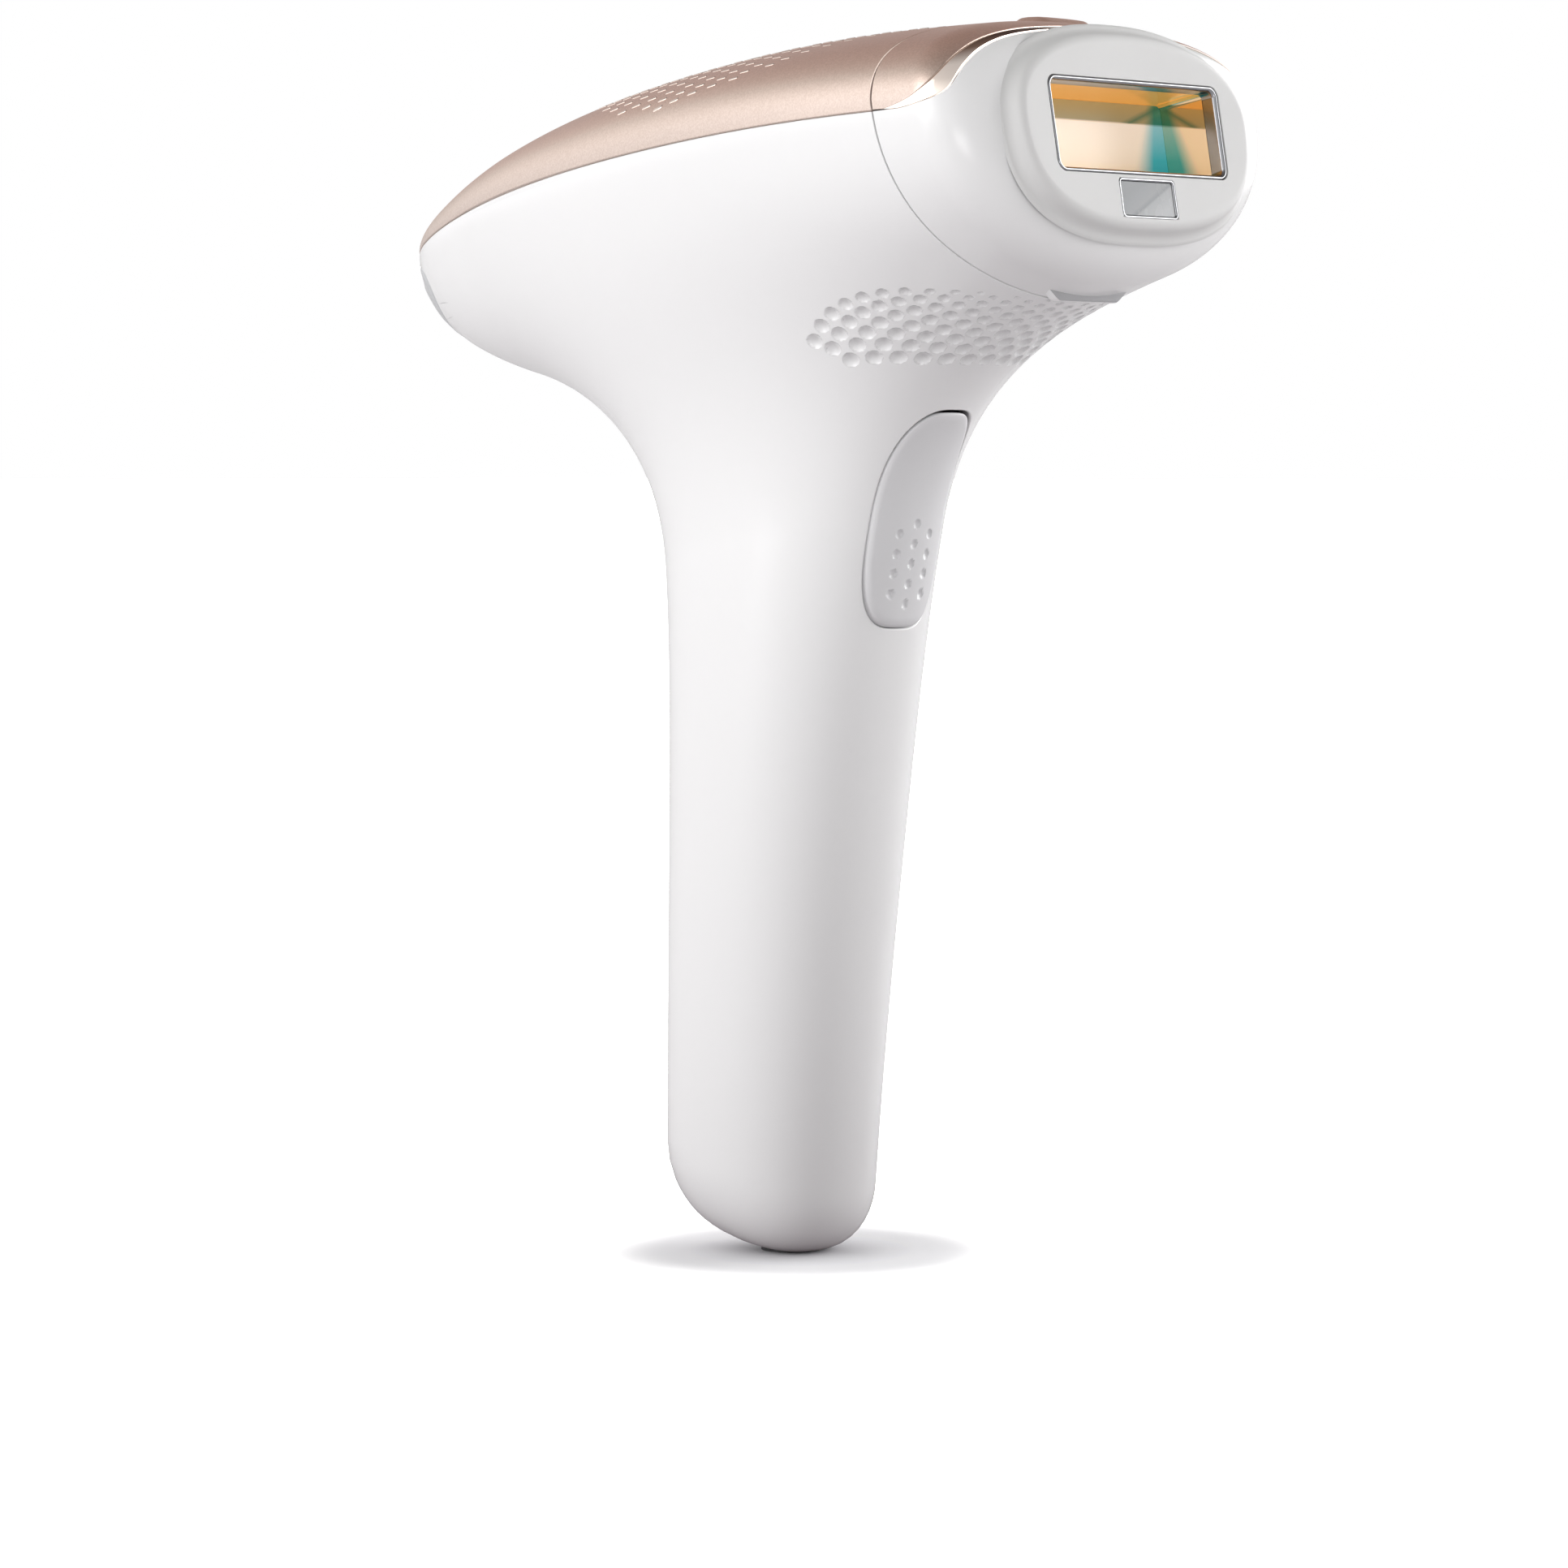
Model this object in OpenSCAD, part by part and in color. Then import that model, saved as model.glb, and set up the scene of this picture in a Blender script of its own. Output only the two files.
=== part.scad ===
// Corded IPL hair remover: egg-shaped head on a tapering handle, with a
// pull-off front attachment, a hinged flash button and a rear control panel.
// Millimetres. Origin at the mouth of the power socket under the handle,
// +X to the treatment window, +Z up.

/* [Head] */
// forward reach of the face plate centre
face_x = 65.1; // [62:0.1:68]
// height of the face plate centre
face_z = 160.9; // [158:0.1:164]
// lean of the face plate from vertical, degrees
face_tilt = 10.2; // [6:0.1:14]
// length of the tapering tail
tail_len = 110.4; // [106:0.1:112]
// roundness of the tail nose
tail_pow = 2.13; // [1.9:0.01:2.4]
// squareness of the upper half of the head section
crown_pow = 2.8; // [2.2:0.1:3.2]
// depth of the raised face plate
face_raise = 2.3; // [1.5:0.1:3]
// rounding where the sides turn into the face
shoulder_r = 7.5; // [5:0.1:9]
// softness of the flow from head into handle
neck_blend = 16.7; // [12:0.1:20]

/* [Handle] */
// slope of the rounded foot of the handle, degrees
foot_tilt = 14.4; // [8:0.1:20]
// rounding of the foot
foot_r = 10.5; // [8:0.1:11.5]
// wall thickness of the mouldings
wall = 2.2; // [1.8:0.1:2.6]

/* [Window] */
// clear width of the treatment window
window_w = 34.8; // [31:0.1:36]
// clear height of the treatment window
window_h = 12.1; // [11:0.1:12.6]
// width of the small sensor window
sensor_w = 10.8; // [9:0.1:11]
// height of the small sensor window
sensor_h = 4.55; // [4:0.05:4.8]

/* [Flash button] */
// half width of the button
button_hw = 7.5; // [6.5:0.05:7.6]
// half height of the button
button_hh = 15.3; // [14.5:0.1:16]
// height of the middle of the button
button_z = 106.9; // [105:0.1:108]
// gap between button and housing
button_gap = 0.3; // [0.2:0.01:0.4]

/* [Details] */
// show the air dimples under the head
vents_on = 1; // [0:1:1]
// show the dash pattern on the top cover
dashes_on = 1; // [0:1:1]

/* [Hidden] */

white = [0.93,0.92,0.93];
rose = [0.80,0.64,0.56];
rose_polished = [0.85,0.62,0.50];
grey = [0.80,0.80,0.80];
steel = [0.70,0.71,0.73];
gold = [0.87,0.66,0.33];
board_green = [0.10,0.35,0.20];
dark = [0.16,0.16,0.17];

// ---------------------------------------------------------------- body form
// control values along the head, tail first, between these two x stations
head_x0 = -84;
head_x1 = 70;
head_w = [16.6,25.2,31.6,35.9,38.1];
head_top = [8.2,9.8,11.5,13.3,13.1,10.2];
head_under = [17.1,32.2,38.1,34.6,21.4,-2.0];
head_mid = [129.1,143.8,153.6,158.7,162.1,163.0,162.2];
tail_start = 36;
// control values up the handle, foot first: centre x, half depth, half width
handle_h = 160;
handle_mid = [-5.3,-4.5,-2.9,-0.6,1.7,3.5,4.4,4.3];
handle_d = [14.1,15.0,16.0,17.2,19.3,26.1,39.2,58.8];
handle_w = [13.2,13.6,14.6,16.0,16.7,16.8,16.7,16.3];

function unit(v) = v/norm(v);
function flip(point) = [point[0],-point[1],point[2]];
function mix(a,b,share) = a*(1-share)+b*share;
function join(lists) = [for(list=lists) for(item=list) item];
function power_norm(a,b,n) = pow(pow(a,n)+pow(b,n),1/n);

// cubic B-spline through a row of control values, at from 0 to their count less 3
function soft(values,at) = let(
    last = len(values)-3, place = min(max(at,0),last-0.000001),
    i = floor(place), t = place-i, s = 1-t)
  (s*s*s*values[i] + (3*t*t*t-6*t*t+4)*values[i+1]
    + (-3*t*t*t+3*t*t+3*t+1)*values[i+2] + t*t*t*values[i+3])/6;
function head_share(x) = (x-head_x0)/(head_x1-head_x0);
function mid_z(x) = soft(head_mid,head_share(x)*4);
function tail_share(x) = max(0,(tail_start-x)/tail_len);

// fields: negative inside, positive outside, near millimetres
function head_field(point) = let(
    share = head_share(point[0]), dz = point[2]-mid_z(point[0]),
    n = dz>0 ? crown_pow : 2,
    height = dz>0 ? soft(head_top,share*3) : soft(head_under,share*3),
    section = power_norm(abs(point[1])/soft(head_w,share*2)+1e-9, abs(dz)/height+1e-9, n))
  (power_norm(section,tail_share(point[0]),tail_pow)-1)*24;
function rounded_and(a,b,r) =
  min(max(a+r,b+r),0) - r + sqrt(pow(max(a+r,0),2)+pow(max(b+r,0),2));
function handle_field(point) = let(
    at = point[2]/handle_h*5,
    section = power_norm(abs(point[0]-soft(handle_mid,at))/soft(handle_d,at)+1e-9,
      abs(point[1])/soft(handle_w,at)+1e-9, 2.3),
    sides = (power_norm(section,max(0,(point[2]-118)/40),3)-1)*18,
    foot = -(point[2]-0.76)*cos(foot_tilt) - point[0]*sin(foot_tilt))
  rounded_and(sides,foot,foot_r);
function body_field(point) = let(
    head = head_field(point), handle = handle_field(point),
    share = min(max(0.5+0.5*(handle-head)/neck_blend,0),1))
  handle*(1-share)+head*share-neck_blend*share*(1-share);

// face plane: centre, outward normal and upward direction
face_c = [face_x,0,face_z];
face_n = [cos(face_tilt),0,sin(face_tilt)];
face_u = [-sin(face_tilt),0,cos(face_tilt)];
// with front set, the body is cut off at the foot of the raised face plate
function field(point,front) = front
  ? rounded_and(body_field(point),(point-face_c)*face_n+face_raise,shoulder_r)
  : body_field(point);

// distance along a ray to the skin; near is inside, far is outside
function hit(from,dir,front,near,far,near_f,far_f,step) = let(
    dist = step%2==0 ? (near*far_f-far*near_f)/(far_f-near_f) : 0.5*(near+far),
    dist_f = field(from+dist*dir,front))
  (abs(dist_f)<0.0004 || step>26) ? dist
  : dist_f<0 ? hit(from,dir,front,dist,far,dist_f,far_f,step+1)
  : hit(from,dir,front,near,dist,near_f,dist_f,step+1);
function skin(from,dir,far,front=false) = let(near = 0.01)
  from + dir*hit(from,dir,front,near,far,
    field(from+near*dir,front),field(from+far*dir,front),0);
// outward normal of the skin
function slope(point,front=false) = let(e = 0.05, here = field(point,front))
  unit([for(step=[[e,0,0],[0,e,0],[0,0,e]]) field(point+step,front)-here]);
function inset(point,depth,front=false) = point-depth*slope(point,front);

// ---------------------------------------------------- seam and parting line
// the seam parts the attachment from the body, the parting line the top cover
seam_gap = 0.03;
seam_top_x = 46.5;
function seam_x(z) = let(drop = max(0,164-z)) seam_top_x+0.2*drop+0.00013*drop*drop*drop;
// height where the two lines meet
corner_z = mid_z(seam_x(mid_z(46.8)));
function seam_hit(angle,near,far,step) = let(
    r = 0.5*(near+far), z = corner_z+r*sin(angle))
  step>22 ? r
  : body_field([seam_x(z),r*cos(angle),z])<0 ? seam_hit(angle,r,far,step+1)
  : seam_hit(angle,near,r,step+1);
function seam_pt(angle) = let(r = seam_hit(angle,4,50,0), z = corner_z+r*sin(angle))
  [seam_x(z),r*cos(angle),z];
low_n = 14;
up_n = 14;
side_n = 20;
low_angles = [for(i=[0:low_n]) -90+90*pow(i/low_n,0.9)];
up_angles = [for(i=[0:up_n]) 0.4+89.6*pow(i/up_n,1.5)];
function side_x(k) = let(tip = tail_start-tail_len)
  tip + (seam_x(corner_z)-tip)*pow(k/side_n,1.8);
function half_w(x) = soft(head_w,head_share(x)*2)
  *pow(max(0,1-pow(tail_share(x),tail_pow)),1/tail_pow);
function part_pt(k) = let(x = side_x(k)) [x,half_w(x),mid_z(x)];

// ------------------------------------------------------------ shell makers
function quad(a,b,c,d) = [[a,c,b],[a,d,c]];
// a half of y>0 columns, followed by their mirror images up to index last
function mirrored(half,last) = let(m = len(half)-1)
  [for(j=[0:last]) j<=m ? half[j] : [for(point=half[2*m-j]) flip(point)]];
function transposed(grid) = [for(k=[0:len(grid[0])-1]) [for(column=grid) column[k]]];

// faces between an outer grid and the inner grid after it, closed round the
// columns or with edged sides; the edge along the first row can be left out
function shell_faces(rows,cols,closed,first_edge=true) = let(
    inner = rows*cols, end = (rows-1)*cols, spans = [0:(closed ? cols-1 : cols-2)])
  join(concat(
    [for(a=[0:rows-2]) for(b=spans) let(q=(b+1)%cols)
      quad(a*cols+b,a*cols+q,(a+1)*cols+q,(a+1)*cols+b)],
    [for(a=[0:rows-2]) for(b=spans) let(q=(b+1)%cols)
      quad(inner+(a+1)*cols+b,inner+(a+1)*cols+q,inner+a*cols+q,inner+a*cols+b)],
    [if(first_edge) for(b=spans) let(q=(b+1)%cols) quad(inner+b,inner+q,q,b)],
    [for(b=spans) let(q=(b+1)%cols) quad(end+b,end+q,inner+end+q,inner+end+b)],
    [if(!closed) for(a=[0:rows-2])
      quad(inner+a*cols,a*cols,(a+1)*cols,inner+(a+1)*cols)],
    [if(!closed) for(a=[0:rows-2]) let(c=a*cols+cols-1)
      quad(c,inner+c,inner+c+cols,c+cols)]));
// wall of the attachment from its y>0 columns
module front_shell(half,closed) {
  last = 2*len(half)-(closed ? 3 : 2);
  inner_half = [for(column=half) [for(point=column) inset(point,wall,true)]];
  outer = transposed(mirrored(half,last));
  inner = transposed(mirrored(inner_half,last));
  polyhedron(concat(join(outer),join(inner)),
    shell_faces(len(outer),len(outer[0]),closed),convexity=8);
}
// solid from rings, first and last ring capped with a fan about their middles
module stack(rings) {
  rows = len(rings);
  cols = len(rings[0]);
  end = (rows-1)*cols;
  function mean(ring,k=0) = k==len(ring) ? [0,0,0] : ring[k]/len(ring)+mean(ring,k+1);
  points = concat(join(rings),[mean(rings[0]),mean(rings[rows-1])]);
  faces = concat(
    join([for(a=[0:rows-2]) for(b=[0:cols-1]) let(q=(b+1)%cols)
      quad(a*cols+b,a*cols+q,(a+1)*cols+q,(a+1)*cols+b)]),
    [for(b=[0:cols-1]) [rows*cols,b,(b+1)%cols]],
    [for(b=[0:cols-1]) [rows*cols+1,end+(b+1)%cols,end+b]]);
  polyhedron(points,faces,convexity=6);
}
// round wire through a list of points
module wire(points,radius,sides) {
  last = len(points)-1;
  function dir(i) = unit(points[min(i+1,last)]-points[max(i-1,0)]);
  stack([for(i=[0:last])
    let(along=dir(i), across=unit(cross(along,[0.31,0.2,0.93])), third=cross(along,across))
    [for(j=[0:sides-1]) let(a=j*360/sides) points[i]+radius*(cos(a)*across+sin(a)*third)]]);
}
// Catmull-Rom curve with three steps to each span
function bend(points) = let(last = len(points)-1)
  [for(i=[0:last-1]) for(j=[0:2])
    let(t=j/3, a=points[max(i-1,0)], b=points[i], c=points[i+1], d=points[min(i+2,last)])
    0.5*((2*b)+(c-a)*t+(2*a-5*b+4*c-d)*t*t+(3*b-a-3*c+d)*t*t*t),
  points[last]];
module cable(points,radius) { wire(bend(points),radius,6); }

module slab(x0,x1,y0,y1,z0,z1) { translate([x0,y0,z0]) cube([x1-x0,y1-y0,z1-z0]); }
module rod_x(x0,x1,y,z,r,k=24) {
  translate([x0,y,z]) rotate([0,90,0]) cylinder(h=x1-x0,r=r,$fn=k);
}
module rod_y(x,y0,y1,z,r,k=24) {
  translate([x,y0,z]) rotate([-90,0,0]) cylinder(h=y1-y0,r=r,$fn=k);
}
// the same on one side of the middle, from near to far in y; side is 1 or -1
module side_slab(side,x0,x1,near,far,z0,z1) {
  slab(x0,x1,side>0 ? near : -far,side>0 ? far : -near,z0,z1);
}
module side_rod(side,x,near,far,z,r,k=24) {
  rod_y(x,side>0 ? near : -far,side>0 ? far : -near,z,r,k);
}
// outline in y and z, extruded along x
module across_x(x0,x1,outline) {
  translate([x0,0,0]) rotate([90,0,90]) linear_extrude(x1-x0) polygon(outline);
}
// rounded rectangle standing across the x axis
module pane(x0,x1,width,height,r,z=0) {
  across_x(x0,x1,[for(corner=[[1,1,0],[-1,1,90],[-1,-1,180],[1,-1,270]]) for(a=[0:22.5:90])
    [corner[0]*(width/2-r)+r*cos(corner[2]+a), z+corner[1]*(height/2-r)+r*sin(corner[2]+a)]]);
}
// carries +Z onto a normal standing at a point
module stand_on(point,normal) {
  s = unit(cross(abs(normal[2])<0.9 ? [0,0,1] : [1,0,0],normal));
  t = cross(normal,s);
  translate(point)
    multmatrix([for(i=[0:2]) [s[i],t[i],normal[i],0], [0,0,0,1]]) children();
}

// ------------------------------------------------------------ shared places
socket_r = 4.4;
// hinge pin of the flash button
pin_x = 20.8;
pin_z = 117.5;
// switch behind the flash button
switch_z = 98;
// oval rear panel; its local +Z points out of the tail
panel_c = [-71.2,0,138.4];
panel_tilt = 35;
module at_panel() { translate(panel_c) rotate([0,-90-panel_tilt,0]) children(); }
function panel_edge(a,share,grow) = [(7.4+grow)*share*cos(a),(10.2+grow)*share*sin(a)];
function button_edge(a,grow) = let(
    r = 1/power_norm(abs(cos(a))/(button_hw+grow),abs(sin(a))/(button_hh+grow),4))
  [r*cos(a),button_z+r*sin(a)];

// ------------------------------------------------------------ main housing
// rays run from the handle axis, then from the hub up to the rim
head_hub = [2,0,160];
handle_rows = [10,16,26,38,50,62,74,84,92,98,104,109,114,118];
foot_rows = 5;
head_rows = 14;
function axis_at(z) = [-4+6*min(max(z-10,0),108)/108,0,z];
foot_hub = axis_at(handle_rows[0]);
function elevation(v) = atan2(v[2],norm([v[0],v[1]]));
rim_half = concat([for(k=[0:side_n-1]) part_pt(k)-[0,0,seam_gap]],
  [part_pt(side_n)-[seam_gap,0,seam_gap]],
  [for(i=[low_n-1:-1:0]) seam_pt(low_angles[i])-[seam_gap,0,0]]);
function housing_column(rim) = let(
    bearing = atan2(rim[1],rim[0]-head_hub[0]),
    out = [cos(bearing),sin(bearing),0],
    sides = [for(z=handle_rows) skin(axis_at(z),out,60)],
    neck_a = elevation(sides[len(sides)-1]-head_hub),
    rim_a = elevation(rim-head_hub))
  concat(
    [for(k=[1:foot_rows]) let(a=90*k/(foot_rows+1))
      skin(foot_hub,out*sin(a)-[0,0,cos(a)],40)],
    sides,
    [for(k=[1:head_rows-1]) let(a=mix(neck_a,rim_a,k/head_rows))
      skin(head_hub,out*cos(a)+[0,0,sin(a)],100)],
    [rim]);

module housing_shell() {
  half = [for(rim=rim_half) housing_column(rim)];
  m = len(half)-1;
  cols = 2*m;
  rows = len(half[0]);
  outer = mirrored(half,cols-1);
  foot = skin(foot_hub,[0,0,-1],40);
  // the inner skin uses every second row and column
  inner_half = [for(j=[0:2:m]) [for(k=[0:2:rows-1])
    inset(half[j][k],k<foot_rows ? wall+0.2 : wall)]];
  in_cols = m;
  in_rows = len(inner_half[0]);
  inner = mirrored(inner_half,in_cols-1);
  foot_i = cols*rows;
  in_i = foot_i+1;
  in_foot_i = in_i+in_cols*in_rows;
  points = concat(join(outer),[foot],join(inner),[foot+[0,0,wall]]);
  faces = concat(
    join([for(j=[0:cols-1]) for(k=[0:rows-2]) let(a=j*rows+k, b=((j+1)%cols)*rows+k)
      quad(a,a+1,b+1,b)]),
    [for(j=[0:cols-1]) [foot_i,((j+1)%cols)*rows,j*rows]],
    join([for(j=[0:in_cols-1]) for(k=[0:in_rows-2])
      let(a=in_i+j*in_rows+k, b=in_i+((j+1)%in_cols)*in_rows+k) quad(b,b+1,a+1,a)]),
    [for(j=[0:in_cols-1]) [in_foot_i,in_i+j*in_rows,in_i+((j+1)%in_cols)*in_rows]],
    // rim between the skins: two outer spans to each inner span
    join([for(j=[0:in_cols-1])
      let(a=2*j*rows+rows-1, b=a+rows, c=((2*j+2)%cols)*rows+rows-1,
        d=in_i+j*in_rows+in_rows-1, e=in_i+((j+1)%in_cols)*in_rows+in_rows-1)
      [[a,b,d],[b,e,d],[b,c,e]]]));
  polyhedron(points,faces,convexity=10);
}
// air dimples: staggered arcs round the front of the neck, smaller towards the chin
function vent_place(row,step) = let(
    centre = 21.1+0.72*row, r = 18.15+1.23*row-0.054*row*row,
    a = (10.8+0.5*row-0.035*row*row)*step)
  [centre+r*cos(a),r*sin(a)];
module vents() {
  for(row=[0:11]) {
    r = 1.17-0.0065*row*row;
    last = row<=2 ? 6.5+0.5*row : 8.5-0.5*row;
    for(step=[(row%2==0 ? 0.5 : 0):1:last]) {
      place = vent_place(row,step);
      if(place[0]<54.0) {
        point = skin([place[0],place[1],150],[0,0,-1],60);
        normal = slope(point);
        for(side=(step==0 ? [1] : [1,-1]))
          stand_on(side>0 ? point : flip(point),side>0 ? normal : flip(normal))
            translate([0,0,-0.5*r]) cylinder(h=0.5*r+0.3,r1=0,r2=r+0.6,$fn=6);
      }
    }
  }
}
module main_housing() {
  color(white) resize([0,0,0]) difference() {
    housing_shell();
    union() {
      across_x(12,40,[for(a=[0:10:350]) button_edge(a,button_gap)]);
      at_panel() translate([0,0,-9]) linear_extrude(21)
        polygon([for(a=[0:10:350]) panel_edge(a,1,0.06)]);
      translate([0,0,-3]) cylinder(h=9,r=socket_r+0.1,$fn=40);
      if(vents_on==1) vents();
    }
  }
}

// --------------------------------------------------------------- top cover
cover_angles = concat([0],up_angles);
function cover_t(x) = min(2.0,0.7+0.13*(x-tail_start+tail_len));
module top_cover() {
  m = len(cover_angles)-1;
  // stations share the parting line points of the housing
  half = [for(k=[1:side_n]) [for(i=[0:m]) let(a=cover_angles[i], x=side_x(k))
    i==0 ? part_pt(k)-[k==side_n ? seam_gap : 0,0,-seam_gap]
    : k==side_n ? seam_pt(a)-[seam_gap,0,0]
    : skin([x,0,mid_z(x)+seam_gap],[0,cos(a),sin(a)],60)]];
  outer = [for(arc=half) concat(arc,[for(i=[m-1:-1:0]) flip(arc[i])])];
  inner = [for(arc=outer) [for(point=arc) inset(point,cover_t(point[0]))]];
  nose = part_pt(0)+[0,0,seam_gap];
  rows = len(outer);
  cols = len(outer[0]);
  in_i = rows*cols;
  nose_i = 2*in_i;
  points = concat(join(outer),join(inner),[nose,nose+[0.7,0,0]]);
  // the first row closes onto the outer and inner nose points
  faces = concat(shell_faces(rows,cols,false,first_edge=false),
    quad(nose_i,0,in_i,nose_i+1), quad(nose_i+1,in_i+cols-1,cols-1,nose_i),
    [for(b=[0:cols-2]) [nose_i,b,b+1]],
    [for(b=[0:cols-2]) [nose_i+1,in_i+b+1,in_i+b]]);
  color(rose) resize([0,0,0]) difference() {
    polyhedron(points,faces,convexity=8);
    if(dashes_on==1) dashes();
  }
}
// leaf-shaped field of short dashes over the crest, in files that slant outward to the front
dash_y = [29.0,26.8,23.2,19.4,15.6,11.8,8.0,4.2];
module dashes() {
  for(y=dash_y) for(k=[-1:2:18]) {
    x = -1.4+2.7*k+0.16*k*k-(29.2-y)*1.95;
    if(pow((x-9)/38,2)+pow(y/29.6,2)<1.03 && x>-42 && x<42)
      for(side=[1,-1]) {
        point = [x,side*y,skin([x,side*y,165],[0,0,1],30)[2]];
        stand_on(point,slope(point)) rotate([0,0,90]) translate([0,0,-0.2])
          linear_extrude(0.6,scale=[1.4,2.2]) square([1.6,0.24],center=true);
      }
  }
}

// -------------------------------------------------------------- attachment
// rays for the shell run from this point
shell_hub = [40,0,161];
shell_rows = 6;
plate_mid = 1.0;
plate_grow = 1.7;
// point on the plate outline, grown sideways, at depth x along the face normal
function plate_r(a,grow) = let(
    height = (sin(a)>0 ? 12.0 : 15.0)+grow, n = sin(a)>0 ? 2.3 : 2.6)
  1/power_norm(abs(cos(a))/(24.4+grow),abs(sin(a))/height,n);
function plate_pt(a,grow,x) = let(r = plate_r(a,grow))
  face_c + x*face_n + [0,r*cos(a),0] + (plate_mid+r*sin(a))*face_u;
function ring_pt(a,x) = skin([x,0,corner_z],[0,cos(a),sin(a)],60,true);
// rear and front edges of the trim, by angle round the head
function trim_rear_x(a) = 47.8+10.4*(1-exp(-a/3.1))-0.025*max(0,a-16);
function trim_front_x(a) =
  max(trim_rear_x(a)+1.0, 49.4+10.0*(1-exp(-a/1.6))-0.035*max(0,a-13));
function shell_column(a,start) = let(end = plate_pt(a,plate_grow,-face_raise))
  concat([start],
    [for(k=[1:shell_rows-1])
      skin(shell_hub,unit(mix(start-shell_hub,end-shell_hub,k/shell_rows)),60,true)],
    [end]);
// bar across the middle; stations are x, outer y, its z, inner y, its z, from base_z
module tab(base_z,stations) {
  stack([for(s=stations) [for(corner=[[s[1],s[2]],[s[3],s[4]],[-s[3],s[4]],[-s[1],s[2]]])
    [s[0],corner[0],base_z+corner[1]]]]);
}
module attachment_shell() {
  // lower columns start at the seam, upper columns at the front of the trim
  half = concat(
    [for(a=low_angles) shell_column(a,seam_pt(a)+[seam_gap,0,0])],
    [for(a=up_angles) shell_column(a,ring_pt(a,trim_front_x(a)))]);
  color(white) resize([0,0,0]) union() {
    front_shell(half,true);
    tab(seam_pt(-90)[2],[[54.6,-8.3,1.3,-6.0,-0.15],[56.2,-8.5,1.6,-6.0,-0.1]]);
  }
}
// band over the top between two edges, given as x for each upper angle
module strip(rear_x,front_x,rows,on_seam) {
  front_shell([for(j=[0:up_n]) let(a=up_angles[j]) [for(k=[0:rows])
    (on_seam && k==0) ? seam_pt(a)+[seam_gap,0,0]
    : ring_pt(a,mix(rear_x[j],front_x[j],k/rows))]],false);
}
module attachment_cap() {
  color(rose) resize([0,0,0]) union() {
    strip([for(a=up_angles) seam_top_x+seam_gap],
      [for(a=up_angles) trim_rear_x(a)-0.13],4,true);
    tab(seam_pt(90)[2],
      [[46.9,6.0,-0.6,4.2,0.9],[51.4,6.0,-0.6,4.2,0.9],[53.0,5.4,-0.6,3.6,-0.3]]);
  }
}
module attachment_trim() {
  color(rose_polished) strip([for(a=up_angles) trim_rear_x(a)],
    [for(a=up_angles) trim_front_x(a)-0.17],1,false);
}

// from here x runs along the face normal, negative behind the face
sensor_z = -9.9;
carrier_x0 = -15.6;
tunnel_filter_x = -11.3;
// locating pegs of the carrier
peg_y = 23;
peg_z = 6.0;
// growth and depth of each ring of the face plate, back to front
plate_rings = [[-3.4,-4.6],[-1.6,-4.6],[plate_grow-0.05,-face_raise],
  [1.15,-face_raise+0.1],[0.55,-face_raise+0.5],[0.25,-1.2],[0.0,-0.55],
  [-0.45,-0.15],[-1.1,0],[-7,0]];
module at_face() { translate(face_c) rotate([0,-face_tilt,0]) children(); }
module window_pane(x0,x1,grow_w,grow_h,r) {
  pane(x0,x1,window_w+grow_w,window_h+grow_h,r);
}
module sensor_pane(x0,x1,grow_w,grow_h,r) {
  pane(x0,x1,sensor_w+grow_w,sensor_h+grow_h,r,sensor_z);
}
module face_plate() {
  k = 48;
  color(grey) resize([0,0,0]) difference() {
    stack([for(ring=plate_rings) [for(j=[0:k-1]) plate_pt(j*360/k,ring[0],ring[1])]]);
    at_face() union() {
      window_pane(-6,2,2.1,1.3,1.7);
      sensor_pane(-6,2,1.3,1.1,0.6);
    }
  }
}
module window_frame() {
  color(steel) at_face() difference() {
    union() {
      window_pane(-2.2,-0.18,2.0,1.2,1.65);
      window_pane(-0.18,0,1.6,0.8,1.45);
    }
    window_pane(-3,1,0,0,1.1);
  }
}
module light_tunnel() {
  color(gold) at_face() difference() {
    window_pane(-17.4,-2.25,1.9,1.1,1.65);
    window_pane(tunnel_filter_x,-2,0,0,1.0);
    window_pane(-18,-11,-1.6,-1.6,0.5);
  }
}
module attachment_filter() {
  color([0.9,0.8,0.55,0.5]) at_face()
    window_pane(tunnel_filter_x+0.02,-9.7,-0.08,-0.08,0.98);
}
module sensor_window() {
  color([0.75,0.78,0.8,0.6]) at_face() sensor_pane(-1.7,-0.2,0,0,0.3);
}
module sensor_frame() {
  color(steel) at_face() difference() {
    sensor_pane(-2.0,0,1.2,1.0,0.55);
    sensor_pane(-3,1,0.06,0.06,0.3);
  }
}
// plate filling the body section at x0 behind the face, shrunk by margin
module lid(x0,x1,margin,front) {
  centre = face_c+x0*face_n;
  across_x(x0,x1,[for(a=[0:7.5:352.5])
    let(r=norm(skin(centre,cos(a)*[0,1,0]+sin(a)*face_u,60,front)-centre)-margin)
    [r*cos(a),r*sin(a)]]);
}
module attachment_carrier() {
  color(white*0.9) at_face() difference() {
    union() {
      lid(carrier_x0,carrier_x0+2,4.0,true);
      pane(-13.7,-4.7,13.4,7.0,0.6,-10.2);
      for(side=[1,-1]) rod_x(-21.2,carrier_x0+0.1,side*peg_y,peg_z,1.5);
    }
    window_pane(-16,-4,2.0,1.2,1.25);
    sensor_pane(-16,-4,0,0,0.3);
  }
}

// ------------------------------------------------------------ flash button
// how far the button stands out of the housing, most at its foot
function proud(z) =
  0.25+0.75*pow(min(max((button_z+button_hh-z)/(2*button_hh),0),1),1.5);
function front_skin(y,z) = skin([0,y,z],[1,0,0],60);
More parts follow.
